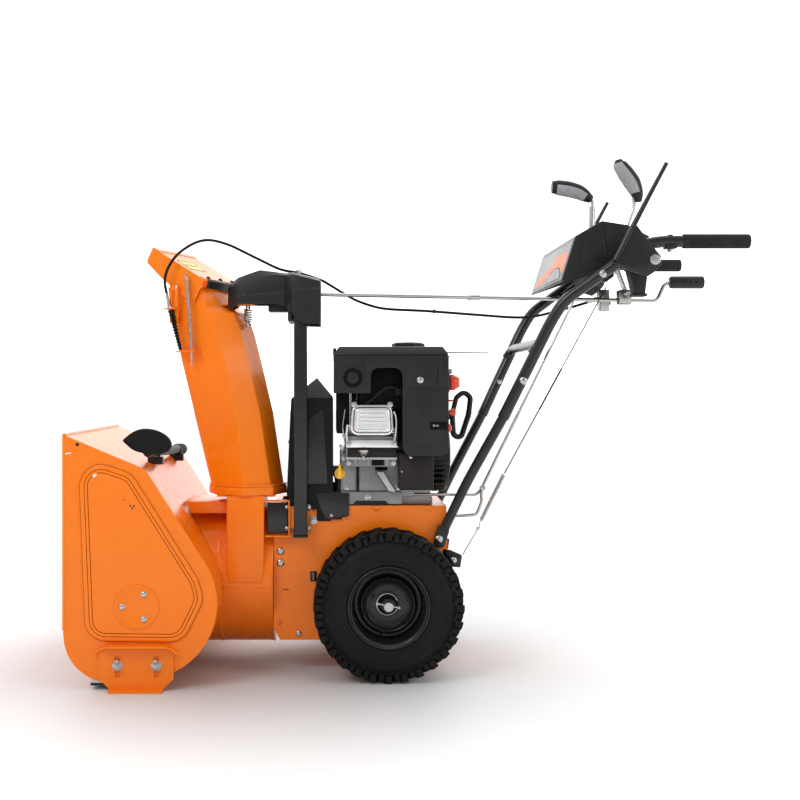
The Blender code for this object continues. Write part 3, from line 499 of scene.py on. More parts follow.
def dome_head(at, along, radius=0.008, height=0.0035):
    """A carriage bolt's or button head screw's domed head."""
    profile = [(0, 0), (0, radius)] + [
        (height * sin(radians(a)), radius * cos(radians(a))) for a in (20, 40, 60, 78)]
    return [place(lathe(profile + [(height, 0)], "z", ORIGIN, 24), at, along)]


def boolean(obj, bm):
    """The object with a Boolean by one more shape, applied."""
    mesh = bpy.data.meshes.new("cutter")
    bm.to_mesh(mesh)
    bm.free()
    helper = bpy.data.objects.new("cutter", mesh)
    bpy.context.scene.collection.objects.link(helper)
    modifier = obj.modifiers.new("cut", "BOOLEAN")
    modifier.operation = "DIFFERENCE"
    modifier.object = helper
    apply_modifiers(obj)
    bpy.data.objects.remove(helper)
    bpy.data.meshes.remove(mesh)


def apply_modifiers(obj):
    """Applies an object's modifiers to its mesh."""
    graph = bpy.context.evaluated_depsgraph_get()
    evaluated = bpy.data.meshes.new_from_object(obj.evaluated_get(graph))
    old = obj.data
    obj.modifiers.clear()
    obj.data = evaluated
    bpy.data.meshes.remove(old)


def bmesh_cut(bm, cutters):
    """The shape with others cut from it."""
    mesh = bpy.data.meshes.new("work")
    bm.to_mesh(mesh)
    bm.free()
    obj = bpy.data.objects.new("work", mesh)
    bpy.context.scene.collection.objects.link(obj)
    for cutter in cutters:
        boolean(obj, cutter)
    out = bmesh.new()
    out.from_mesh(obj.data)
    old = obj.data
    bpy.data.objects.remove(obj)
    bpy.data.meshes.remove(old)
    bmesh.ops.remove_doubles(out, verts=out.verts, dist=1e-5)
    bmesh.ops.dissolve_limit(out, angle_limit=radians(0.5), verts=out.verts, edges=out.edges)
    return out


GROUPS = {}


def add(name, body, material, *shapes, replaces=(), smooth=40):
    """Adds shapes to the named piece, which rides on one body and has one material."""
    group = GROUPS.setdefault(name,
                              {"body": body, "material": material, "shapes": [], "replaces": [],
                               "smooth": smooth})
    for shape in shapes:
        group["shapes"] += shape if isinstance(shape, list) else [shape]
    group["replaces"] += replaces


def make_pieces():
    """One object for each named piece, in the order they were named."""
    for name, group in GROUPS.items():
        whole = bmesh.new()
        for shape in group["shapes"]:
            work = bpy.data.meshes.new("work")
            shape.to_mesh(work)
            shape.free()
            whole.from_mesh(work)
            bpy.data.meshes.remove(work)
        mesh = bpy.data.meshes.new(name)
        whole.to_mesh(mesh)
        whole.free()
        mesh.shade_smooth()
        mesh.set_sharp_from_angle(angle=radians(group["smooth"]))
        obj = bpy.data.objects.new(name, mesh)
        bpy.context.scene.collection.objects.link(obj)
        mesh.materials.append(MATERIALS[group["material"]])
        if "bodies" in group:
            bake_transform(obj)
        else:
            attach(obj, group["body"])
        if group["replaces"]:
            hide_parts(*group["replaces"])


def chute_frame():
    """Where the chute stands and how far it is turned."""
    return Matrix.Translation((*CHUTE_AXIS, 0)) @ Matrix.Rotation(-CHUTE_TURN, 4, "Z")


def turned(bm):
    """A shape drawn along the chute's own directions, put where the chute stands."""
    bmesh.ops.transform(bm, matrix=chute_frame(), verts=bm.verts)
    return bm


def chute_point(x, y, z):
    """A point given along the chute's own directions."""
    return tuple(chute_frame() @ Vector((x, y, z)))


# ---------------------------------------------------------------- auger housing
def pressed_ridge(outline, radius, heights, face, sign):
    """Pressed lines round a closed outline: rings at (outward distance, height) on a side's face."""
    rings_of = [(rounded_loop(outline, radius, grow), height) for grow, height in heights]

    def faces(bm):
        rings = [[bm.verts.new((x, sign * (face + height), z)) for x, z in ring]
                 for ring, height in rings_of]
        join_rings(bm, rings)
        bm.faces.new(rings[-1])

    return new_solid(faces)


def build_housing():
    """The auger housing's pressings, covers and fasteners, with shade painted into the pressed grooves and a
    hole, and the bright backdrop painted into two openings.
    """
    panel = [(-0.696, 0.481), (-0.61, 0.452), (-0.472, 0.232), (-0.462, 0.197), (-0.499, 0.121),
             (-0.682, 0.123)]
    profile = [(0.0175, -0.0004), (0.016, 0.0026), (0.014, 0.0046), (0.0115, 0.005), (0.007, 0.0049),
               (0.0066, 0.003), (0.0058, 0.003), (0.0054, 0.005), (0.002, 0.0052), (0.0, 0.005),
               (-0.0004, 0.0032), (-0.0012, 0.0032), (-0.0018, 0.0046), (-0.005, 0.0042), (-0.02, 0.0042)]
    for side, sign in SIDES:
        add(f"{side}_panel_pressing", "root", "orange_paint",
            pressed_ridge(panel, 0.03, profile, HALF_WIDTH, sign), smooth=60)
        # painted shade: thin dark-brown rods laid in the pressed lines and round the bearing cover stand in
        # for the shade in their grooves
        for grow, height in ((0.0165, 0.0016), (0.0062, 0.0034), (-0.0008, 0.0036)):
            loop = [(x, sign * (HALF_WIDTH + height), z) for x, z in rounded_loop(panel, 0.03, grow)]
            add(f"{side}_panel_groove_shade", "root", "painted_groove_shade", sweep(loop, 0.0007, 6, closed=True))
        circle = [(AUGER[0] + a, sign * (HALF_WIDTH + 0.0034), AUGER[1] + b)
                  for a, b in arc((0, 0), 0.0485, 0, 354, 59)]
        add(f"{side}_panel_groove_shade", "root", "painted_groove_shade", sweep(circle, 0.0007, 6, closed=True))
        boss = [(0.0002, 0), (0.0002, 0.05), (0.0046, 0.05), (0.003, 0.049), (0.003, 0.048),
                (0.0056, 0.0472), (0.0064, 0.0455), (0.0062, 0.0425), (0.0054, 0.0405), (0.0054, 0)]
        centre = (AUGER[0], sign * HALF_WIDTH, AUGER[1])
        add(f"{side}_bearing_cover", "root", "orange_paint",
            lathe([(sign * a, r) for a, r in boss], "y", centre, 64))
        out = (0, sign, 0)
        bolts = []
        for angle in (180, 60, -60):
            at = (AUGER[0] + 0.031 * cos(radians(angle)), sign * (HALF_WIDTH + 0.0054),
                  AUGER[1] + 0.031 * sin(radians(angle)))
            bolts += dome_head(at, out, 0.0072, 0.0035)
        for x in (-0.629, -0.546):
            shoe_bolt = (x, sign * (HALF_WIDTH + 0.0048), 0.055)
            bolts += flange_nut(shoe_bolt, out, 0.0115)
        add(f"{side}_housing_bolts", "root", "zinc_steel", *bolts)
        lip = [(-0.7448, 0.13), (-0.7448, 0.5455)]
        roll = [(x, sign * (HALF_WIDTH - 0.002), z) for x, z in lip]
        add("housing_lips", "root", "orange_paint", sweep(roll, 0.0042, 12))
        # painted shade: a thin dark hexagon stands in for the shade inside a hole
        hole = prism(hexagon(0.007), "y", *on_side(sign, 0.3095, 0.3104))
        bmesh.ops.translate(hole, vec=(-0.716, 0, 0.528), verts=hole.verts)
        diamonds = [soft(prism([(x - r, z), (x, z + r), (x + r, z), (x, z - r)], "y",
                               *on_side(sign, 0.3095, 0.3144)),
                         0.0002, 1)
                    for x, z, r in ((-0.601, 0.3965, 0.0026), (-0.5935, 0.3965, 0.0026),
                                    (-0.597, 0.3915, 0.0026), (-0.615, 0.4105, 0.002))]
        add("housing_marks_and_hole_shade", "root", "dark_engine", hole, *diamonds)
        # painted light: pale plates stand in for the bright backdrop seen through a diamond-shaped hole and
        # a notch
        low, high = on_side(sign, 0.3095, 0.3146)
        through = prism([(-0.6855, 0.4636), (-0.679, 0.4701), (-0.6725, 0.4636), (-0.679, 0.4571)], "y", low,
                        high)
        low, high = on_side(sign, 0.3095, 0.3106)
        notch = prism([(-0.7445, 0.506), (-0.728, 0.5085), (-0.73, 0.511), (-0.7445, 0.5095)], "y", low,
                      high)
        add("housing_openings_painted_backdrop", "root", "panel_pale", through, notch)
        bend = rounded([(-0.679, sign * 0.3178, 0.08), (-0.662, sign * 0.3182, 0.0935),
                        (-0.518, sign * 0.3182, 0.0935), (-0.5, sign * 0.3178, 0.08)],
                       0.012, 6)
        add(f"{side}_skid_lip", "root", "orange_paint", sweep(bend, 0.0032, 12))
    across = [(-0.7445, -HALF_WIDTH, 0.5475), (-0.7445, HALF_WIDTH, 0.5475)]
    add("housing_lips", "root", "orange_paint", sweep(across, 0.0042, 12))
    for y in (-0.24, -0.08, 0.08, 0.24):
        add("scraper_bolts", "root", "zinc_steel", hex_head((-0.664, y, 0.0088), DOWN, 0.011, 0.004))
        add("scraper_bolts", "root", "zinc_steel", dome_head((-0.664, y, 0.0193), UP, 0.008, 0.003))


def build_drum_details():
    """The drum's flange against the housing, its seam, and the raised panel that becomes the neck."""
    drive = (0, 0, IMPELLER_Z)
    radius = DRUM_RADIUS
    band = [(-0.433, radius - 0.001), (-0.433, radius + 0.0004), (-0.4315, radius + 0.0012),
            (-0.4245, radius + 0.0012), (-0.423, radius + 0.0004), (-0.423, radius - 0.001)]
    edge = [(-0.3085, radius - 0.001), (-0.3085, radius + 0.001), (-0.306, radius + 0.002),
            (-0.3042, radius + 0.001), (-0.3042, radius - 0.001)]
    add("drum_flanges", "root", "orange_paint", lathe(edge, "x", drive, 96),
        bmesh_cut(lathe(band, "x", drive, 96), [box((-0.5, -0.2, 0.3), (-0.25, 0.02, 0.45), 0)]))
    panel = [(-0.4085, 0.4), (-0.3245, 0.4), (-0.3245, 0.24), (-0.329, 0.207), (-0.404, 0.207),
             (-0.4085, 0.24)]
    add("neck_panel", "root", "orange_paint", soft(prism(panel, "y", -0.1675, -0.16), 0.0022, 3))
    ledge_top = box((-0.508, -0.129, 0.385), (-0.412, 0.04, 0.388), 0.0012)
    ledge_side = soft(prism([(-0.508, 0.388), (-0.412, 0.388), (-0.412, 0.361), (-0.493, 0.361)], "y",
                            -0.131, -0.1275),
                      0.0012)
    add("drum_ledge", "root", "orange_paint", ledge_top, ledge_side)
    seam = [(-0.419, -0.1652), (-0.309, -0.1652), (-0.309, -0.156), (-0.419, -0.156)]
    add("drum_seam", "root", "orange_paint", soft(prism(seam, "z", 0.196, 0.199), 0.0006))


def leaned(shapes):
    """The tool's shapes, sheared so that its far end lies lower and further back."""
    lean = Matrix.Translation((0, -0.25, 0))
    shear = Matrix(((1, 0.025, 0, 0), (0, 1, 0, 0), (0, -0.037, 1, 0), (0, 0, 0, 1)))
    for bm in shapes:
        bmesh.ops.transform(bm, matrix=lean @ shear @ lean.inverted(), verts=bm.verts)
    return shapes


def build_cleanout_clips():
    """The clips that hold the clean-out tool on the housing."""
    for y in (-0.16, 0.14):
        clip = arc((-0.573, 0.5075), 0.0135, -200, 20, 14)
        band = clip + arc((-0.573, 0.5075), 0.0116, 20, -200, 14)
        foot = box((-0.59, y - 0.009, 0.479), (-0.556, y + 0.009, 0.4965), 0.001)
        add("tool_clips", "root", "black_plastic",
            *leaned([soft(prism(band, "y", y - 0.009, y + 0.009), 0.0004), foot]))


def build_cleanout_tool():
    """A long handle with a ribbed end and a dished scoop at the machine's left."""
    x, z = -0.573, 0.5075
    shapes = [lathe([(-0.262, 0), (-0.262, 0.0095), (-0.255, 0.0105), (0.13, 0.0105), (0.135, 0.0125),
                     (0.228, 0.0132), (0.234, 0.011), (0.235, 0)],
                    "y", (x, 0, z), 24)]
    for k in range(7):
        y = 0.145 + 0.012 * k
        shapes.append(lathe([(y, 0.012), (y + 0.0012, 0.0145), (y + 0.0042, 0.0145), (y + 0.0054, 0.012)],
                            "y", (x, 0, z), 24))
    add("clean_out_tool_handle", "clean_out_tool", "black_plastic", *leaned(shapes),
        replaces=["clean_out_tool"])

    def scoop(bm):
        """A domed bowl, flatter below its rim, whose outline comes to a point at the front."""
        rings = []
        for share, y in ((0.3, -0.252), (0.62, -0.262), (0.84, -0.274), (0.96, -0.288), (1.0, -0.302),
                         (0.98, -0.3065)):
            ring = []
            for k in range(36):
                a = 2 * pi * k / 36
                across = 0.049 * cos(a)
                point = max(0.0, -cos(a)) ** 3 * 0.008
                tall = (0.031 if sin(a) > 0 else 0.0245) * sin(a) * (1 - max(0.0, -cos(a)) ** 4 * 0.5)
                ring.append((x + 0.01 + (across - point) * share, y,
                             z + 0.023 + tall * share - 0.1 * across))
            rings.append(ring)
        verts = [[bm.verts.new(p) for p in ring] for ring in rings]
        join_rings(bm, verts)
        bm.faces.new(verts[0])
        bm.faces.new(verts[-1][::-1])

    bowl = new_solid(scoop)
    add("clean_out_scoop", "clean_out_tool", "dark_cover", bowl)
    rim = [(x - 0.042, z + 0.026), (x - 0.023, z + 0.01), (x + 0.003, z + 0.003), (x + 0.032, z + 0.003),
           (x + 0.053, z + 0.009)]
    path = smooth_route([(a, -0.306, b) for a, b in rim], 5)
    add("clean_out_scoop", "clean_out_tool", "dark_cover", sweep(path, 0.0022, 8))
    for k in (-1, 1):
        tick = [(x + 0.006 * k - 0.002, -0.3065, z + 0.01), (x + 0.006 * k + 0.002, -0.3065, z + 0.018)]
        add("clean_out_scoop", "clean_out_tool", "dark_cover", sweep(tick, 0.001, 6))


# ---------------------------------------------------------------- chute and its drive
def build_chute_edges():
    """The rolled edges of the chute's two sides."""
    for sign in (-1, 1):
        edge = [(-0.05, 0.4285), (-0.097, 0.596), (-0.127, 0.702), (-0.147, 0.776), (-0.158, 0.824),
                (-0.168, 0.883)]
        path = rounded([chute_point(x + 0.0005, sign * 0.0762, z) for x, z in edge], 0.02, 3)
        add("chute_edge_rolls", "chute", "orange_paint", sweep(path, 0.0034, 10))


def collar_outline(radius):
    """The eight corners of the chute's collar, from the distance of its flats."""
    angles = [pi / 8 + k * pi / 4 for k in range(8)]
    return [chute_point(radius * cos(a) / cos(pi / 8), radius * sin(a) / cos(pi / 8), 0)[:2] for a in angles]


def build_chute_collar():
    """The two bands that make the hem of the chute's collar."""
    outer, inner = collar_outline(0.0842), collar_outline(0.0812)

    def band(low, high):
        def faces(bm):
            rings = []
            for loop, z in ((outer, low), (outer, high), (inner, high), (inner, low)):
                rings.append([bm.verts.new((x, y, z)) for x, y in loop])
            join_rings(bm, rings + rings[:1])

        return new_solid(faces)

    add("chute_collar_hem", "chute", "orange_paint", soft(band(0.4046, 0.423), 0.0012, 3),
        soft(band(0.4246, 0.4285), 0.0008, 2))


def build_chute_gear():
    """The plunger with its spring, and the toothed ring under the gear cover."""
    x, y = CHUTE_AXIS
    add("chute_plunger", "chute", "zinc_steel",
        coil((x, y, 0.805), (x, y, 0.833), 0.0092, 0.0016, 5.5),
        rod("z", (x, y, 0), 0.79, 0.805, 0.0045, 16),
        rod("z", (x, y, 0), 0.7955, 0.799, 0.0085, 20), replaces=["chute_gear"])
    gear = []
    teeth = 30
    for k in range(teeth * 2):
        a = 2 * pi * k / (teeth * 2)
        r = 0.04 if k % 2 else 0.0375
        gear += [(x + r * cos(a - 0.03), y + r * sin(a - 0.03)),
                 (x + r * cos(a + 0.03), y + r * sin(a + 0.03))]
    add("chute_ring_gear", "chute", "zinc_steel",
        soft(prism(gear, "z", 0.856, 0.864), 0.0004, 1),
        rod("z", (x, y, 0), 0.844, 0.8562, 0.016, 24))
    add("chute_ring_gear", "chute", "zinc_steel", rod("z", (x, y, 0), 0.8325, 0.8562, 0.0058, 16))


def build_cable_bracket():
    """The bolts of the cable bracket and the ferrule that ends the deflector's cable."""
    bolts = []
    for x, z in ((-0.15, 0.812), (-0.137, 0.882)):
        bolts += dome_head(chute_point(x, -0.0956, z), chute_direction(0, -1), 0.0042, 0.002)
    add("cable_bracket_bolts", "chute", "zinc_steel", *bolts)
    seat = Vector(chute_point(-0.152, -0.101, 0.8355))
    lean = Vector(CABLE_FRONT_ROUTE[0]) - seat
    ferrule = lathe([(0, 0), (0, 0.005), (0.005, 0.005), (0.0058, 0.004), (lean.length - 0.008, 0.0038),
                     (lean.length + 0.002, 0.0034), (lean.length + 0.002, 0)],
                    "z", ORIGIN, 20)
    add("cable_ferrule", "chute", "zinc_steel", place(ferrule, seat, lean),
        turned(rod("z", (-0.15, -0.101, 0), 0.826, 0.8308, 0.0056, 6)),
        turned(rod("z", (-0.151, -0.101, 0), 0.8342, 0.8372, 0.006, 6)))


def build_cable_bellows():
    """The pleated boot at the cable's end."""
    top, low = Vector((-0.148, -0.1012, 0.8285)), Vector((-0.122, -0.1005, 0.7365))
    path, radii = [], []
    rings = 13
    for k in range(rings * 4 + 1):
        t = k / (rings * 4)
        path.append(chute_point(*(top + (low - top) * t)))
        radii.append((0.006 - 0.0022 * t) * (1.0 + 0.22 * (1 if k % 4 in (1, 2) else -0.6)))
    add("cable_bellows_pleats", "chute", "rubber", sweep(path, radii, 16), replaces=["cable_bellows"])


def build_deflector_spring():
    """The spring beside the chute, with its hook, its rod and the nut on it."""
    hook_top, hook_low = Vector((-0.108, -0.097, 0.905)), Vector((-0.094, -0.097, 0.74))
    spring = coil(chute_point(*hook_top), chute_point(*hook_low), 0.0042, 0.001, 62, 12, 5)
    upper = rounded([chute_point(-0.108, -0.097, 0.903), chute_point(-0.1085, -0.097, 0.913),
                     chute_point(-0.114, -0.094, 0.917), chute_point(-0.116, -0.0885, 0.912)],
                    0.004)
    lower = [chute_point(-0.094, -0.097, 0.742), chute_point(-0.0935, -0.097, 0.7)]
    add("deflector_spring_wire", "chute", "zinc_steel", spring, sweep(upper, 0.0011, 8),
        sweep(lower, 0.002, 10), replaces=["deflector_spring"])
    nut = hex_head(ORIGIN, UP, 0.0075, 0.004)
    for shape in nut:
        bmesh.ops.translate(shape, vec=(-0.0938, -0.097, 0.727), verts=shape.verts)
    add("deflector_spring_nut", "chute", "zinc_steel", *map(turned, nut))


def build_hinge_strip():
    """The strip across the rear top edge of the chute."""
    add("deflector_hinge_strip", "chute", "black_plastic",
        turned(soft(prism([(-0.07, 0.879), (-0.063, 0.879), (-0.058, 0.895), (-0.063, 0.9005)], "y", -0.074,
                          0.074),
                    0.0006)))


def build_deflector_top():
    """The deflector's flanges, sticker, bolts and rim."""
    (hx, hz), (fx, fz) = (-0.067, 0.8975), (-0.2066, 0.978)
    along = Vector((fx - hx, 0, fz - hz)).normalized()
    normal = Vector((along.z, 0, -along.x))
    if normal.z < 0:
        normal.negate()

    def on_top(a, y, lift):
        spot = Vector((hx, y, hz)) + along * a + normal * lift
        return chute_point(*spot)

    def patch(a0, a1, y0, y1, lift, thick):
        corners = [on_top(a, y, t) for a in (a0, a1) for y in (y0, y1) for t in (lift, lift + thick)]
        return hull(corners)

    add("deflector_flange", "deflector", "orange_paint", patch(0.004, 0.016, -0.08, 0.08, 0.0, 0.0016),
        patch(0.144, 0.16, -0.083, 0.083, -0.0005, 0.0018))
    add("deflector_sticker", "deflector", "sticker_yellow", patch(0.06, 0.1, -0.06, 0.0, 0.0, 0.0005))
    add("deflector_sticker_border", "deflector", "black_plastic",
        patch(0.056, 0.104, -0.064, 0.004, 0.0, 0.0003), patch(0.074, 0.086, -0.05, -0.044, 0.0004, 0.0004),
        patch(0.074, 0.086, -0.034, -0.028, 0.0004, 0.0004),
        patch(0.078, 0.082, -0.022, -0.008, 0.0004, 0.0004))
    bolts = []
    for y in (-0.055, 0.0, 0.055):
        spot = on_top(0.01, y, 0.0014)
        bolts += dome_head(spot, chute_frame().to_3x3() @ normal, 0.0058, 0.0045)
    add("deflector_top_bolts", "deflector", "black_plastic", *bolts)
    bolts = [dome for sign in (-1, 1)
             for dome in dome_head(chute_point(-0.09, sign * 0.0851, 0.879), chute_direction(0, sign), 0.005,
                                   0.0026)]
    add("deflector_bolts", "deflector", "orange_paint", *bolts)
    rim = [(-0.2066, 0.978), (-0.2233, 0.946), (-0.1806, 0.906), (-0.097, 0.845)]
    for sign in (-1, 1):
        path = rounded([chute_point(x, sign * 0.0838, z) for x, z in rim], 0.006, 4)
        add("deflector_rim", "deflector", "orange_paint", sweep(path, 0.0026, 8))


def chute_direction(x, y):
    """A level direction given along the chute's own directions."""
    return tuple(chute_frame().to_3x3() @ Vector((x, y, 0)))


def build_gear_cover():
    """The hood over the chute gear, open below: creased walls, a crowned top and a lobe round the post."""
    far, wall = -0.0385, 0.0024
    # X, near Y, far Y, and the Z of the lower edge, the wall's crease, the shoulder and the top
    stations = ((-0.412, -0.098, -0.072, 0.833, 0.856, 0.87, 0.88),
                (-0.402, -0.113, -0.055, 0.832, 0.859, 0.885, 0.896),
                (-0.388, -0.124, -0.046, 0.842, 0.8605, 0.8945, 0.905),
                (-0.366, -0.127, -0.042, 0.8435, 0.8615, 0.899, 0.913),
                (-0.3371, -0.128, far, 0.844, 0.8635, 0.9045, 0.9225),
                (-0.3, -0.129, far, 0.844, 0.866, 0.911, 0.918),
                (-0.279, -0.13, far, 0.8395, 0.8675, 0.909, 0.915),
                (-0.27, -0.16, far, 0.83, 0.868, 0.907, 0.913),
                (-0.26, -0.186, far, 0.82, 0.8685, 0.906, 0.912),
                (-0.248, -0.1885, far, 0.803, 0.8695, 0.903, 0.909),
                (-0.238, -0.1885, far, 0.795, 0.8705, 0.9005, 0.9065),
                (-0.1975, -0.1885, far, 0.794, 0.8725, 0.89, 0.897),
                (-0.1952, -0.1865, -0.04, 0.7945, 0.8725, 0.887, 0.893))

    def section(near, far_y, low, crease, shoulder, top, inset):
        half = [(0.0, low), (0.0, crease), (0.003, crease + 0.004), (0.0042, shoulder - 0.003),
                (0.0055, shoulder), (0.02, top)]
        left = [(near + a + inset, b - inset * (b > crease)) for a, b in half]
        right = [(far_y - a - inset, b - inset * (b > crease)) for a, b in half[::-1]]
        return left + right

    def shell(bm):
        rings = []
        for x, near, far_y, low, crease, shoulder, top in stations:
            outer = section(near, far_y, low, crease, shoulder, top, 0.0)
            inner = section(near, far_y, low, crease, shoulder, top, wall)
            rings.append([bm.verts.new((x, y, z)) for y, z in outer + inner[::-1]])
        join_rings(bm, rings)
        bm.faces.new(rings[0])
        bm.faces.new(rings[-1][::-1])

    ends = []
    for index, step in ((0, 0.0016), (-1, -0.0016)):
        x, near, far_y, *heights = stations[index]
        ring = section(near + 0.0003, far_y - 0.0003, *heights, 0.0)
        ends.append(hull([(t, y, z) for t in (x, x + step) for y, z in ring]))
    add("gear_cover_hood", "root", "black_plastic", new_solid(shell), *ends, replaces=["gear_cover"],
        smooth=24)
    lip = [(x, near + 0.0012, low + 0.0006) for x, near, _, low, *_ in stations[1:-1]]
    add("gear_cover_hood", "root", "black_plastic", sweep(lip, 0.0018, 8))


def build_gear_seat():
    """The gear cover's clip and the seat below it."""
    add("gear_cover_clip", "root", "zinc_steel",
        rod("z", (-0.247, -0.11, 0), 0.91, 0.922, 0.0035, 14),
        sweep([(-0.252, -0.116, 0.92), (-0.247, -0.11, 0.9225), (-0.24, -0.104, 0.92)], 0.0014, 8))
    seat = box((-0.318, -0.104, 0.826), (-0.268, -0.066, 0.8495), 0.004, 3)
    add("gear_seat", "root", "black_plastic", seat,
        box((-0.27, -0.176, 0.8), (-0.259, -0.05, 0.838), 0.003, 3))


def build_chute_post():
    """The bolts, the foot and the cap of the chute's post."""
    crank = []
    for z in (0.378, 0.33):
        crank += hex_head((-0.2248, -0.157, z), BACK, 0.011, 0.006, 0.0078)
        crank += hex_head((-0.269, -0.159, z), FORWARD, 0.01, 0.006)
    add("post_bolts", "root", "zinc_steel", *crank)
    add("post_foot", "root", "black_paint", box((-0.317, -0.156, 0.318), (-0.27, -0.1462, 0.388), 0.0015))
    add("post_cap", "root", "black_plastic",
        box((-0.2575, -0.1815, 0.311), (-0.2245, -0.1485, 0.316), 0.0012))


def build_crank_rod():
    """The bent crank rod with its worm and its joint."""
    tilt = (CRANK_REAR[1] - CRANK_FRONT[1]) / (CRANK_REAR[0] - CRANK_FRONT[0])
    bend = [CRANK_FRONT, CRANK_REAR, (0.611, CRANK_HANDLE_Z), (0.694, CRANK_HANDLE_Z)]
    path = rounded([(x, CRANK_Y, z) for x, z in bend], 0.014, 8)
    add("crank_rod_bar", "crank", "zinc_steel", sweep(path, 0.0044, 16), replaces=["crank_rod"])
    worm = []
    for k in range(-30, 31):
        x = -0.366 + 0.0005 * k
        a = k * 2 * pi / 12
        worm.append((x, CRANK_Y + 0.0056 * cos(a),
                     CRANK_FRONT[1] + tilt * (x - CRANK_FRONT[0]) + 0.0056 * sin(a)))
    add("crank_worm", "crank", "zinc_steel", sweep(worm, 0.0014, 6))
    joint_x = 0.148
    joint_z = CRANK_FRONT[1] + tilt * (joint_x - CRANK_FRONT[0])
    add("crank_joint", "crank", "zinc_steel",
        rod("x", (0, CRANK_Y, joint_z), joint_x, joint_x + 0.03, 0.0062, 16),
        rod("y", (joint_x + 0.015, CRANK_Y, joint_z), -0.0075, 0.0075, 0.0018, 10))


def build_crank_grip():
    """The grip that turns on the crank's end, with plain marks."""
    grip = [(0.622, 0.0052), (0.622, 0.0125), (0.6235, 0.0142), (0.629, 0.0146), (0.696, 0.0148),
            (0.699, 0.014), (0.7002, 0.0115), (0.7002, 0), (0.696, 0), (0.696, 0.0052)]
    add("crank_grip_sleeve", "crank_grip", "black_plastic",
        lathe(grip, "x", (0, CRANK_Y, CRANK_HANDLE_Z), 32), replaces=["crank_grip"])
    for k in range(3):
        x = 0.65 + 0.014 * k
        add("crank_grip_marks", "crank_grip", "rubber",
            box((x, CRANK_Y - 0.0151, CRANK_HANDLE_Z - 0.002),
                (x + 0.006, CRANK_Y - 0.0141, CRANK_HANDLE_Z + 0.002), 0.0003))


def build_cables():
    """The deflector cable's two halves and the traction cable."""
    rear = smooth_route(CABLE_REAR_ROUTE)
    front = smooth_route(CABLE_FRONT_ROUTE)
    add("deflector_cable_rear", "root", "rubber", sweep(rear, CABLE_RADIUS, 12),
        replaces=["deflector_cable"])
    add("deflector_cable_front", "chute", "rubber", sweep(front, CABLE_RADIUS, 12), replaces=["chute_cable"])
    GROUPS["deflector_cable_front"].update(
        bodies=("chute", "root"), start=(-0.47, -0.1, 0.93), end=(-0.3, -0.03, 0.93))
    end = CABLE_REAR_ROUTE[-1]
    add("cable_end_sleeve", "root", "zinc_steel",
        sweep([(end[0] - 0.004, end[1], end[2] - 0.001), (end[0] + 0.022, end[1], end[2] + 0.008)], 0.0046,
              14))
    tie = (0.072, -0.055, 0.8303)
    add("cable_tie", "root", "black_plastic", rod("x", tie, -0.003, 0.003, 0.0046, 14))
    # clutch cable, its spring and hooks on the left
    line = rounded([(0.4555, -0.155, 0.88), (0.338, -0.1625, 0.668), (0.2205, -0.17, 0.4555)], 0.02)
    coil_path = coil((0.2195, -0.17, 0.453), (0.168, -0.172, 0.35), 0.004, 0.001, 48, 12, 5)
    hook = rounded([(0.168, -0.172, 0.352), (0.164, -0.172, 0.343), (0.1645, -0.172, 0.334),
                    (0.159, -0.172, 0.329), (0.156, -0.171, 0.322), (0.142, -0.163, 0.296),
                    (0.128, -0.15, 0.268)],
                   0.005)
    sheath = [(0.352, -0.1617, 0.693), (0.338, -0.1625, 0.668), (0.3, -0.165, 0.599)]
    add("traction_cable_line", "root", "rubber", sweep(line, 0.0012, 8), sweep(sheath, 0.002, 8))
    add("traction_spring_wire", "root", "zinc_steel", coil_path, sweep(hook, 0.0013, 8),
        rod("y", (0.16, -0.172, 0.331), -0.003, 0.003, 0.004, 12), replaces=["traction_spring"])


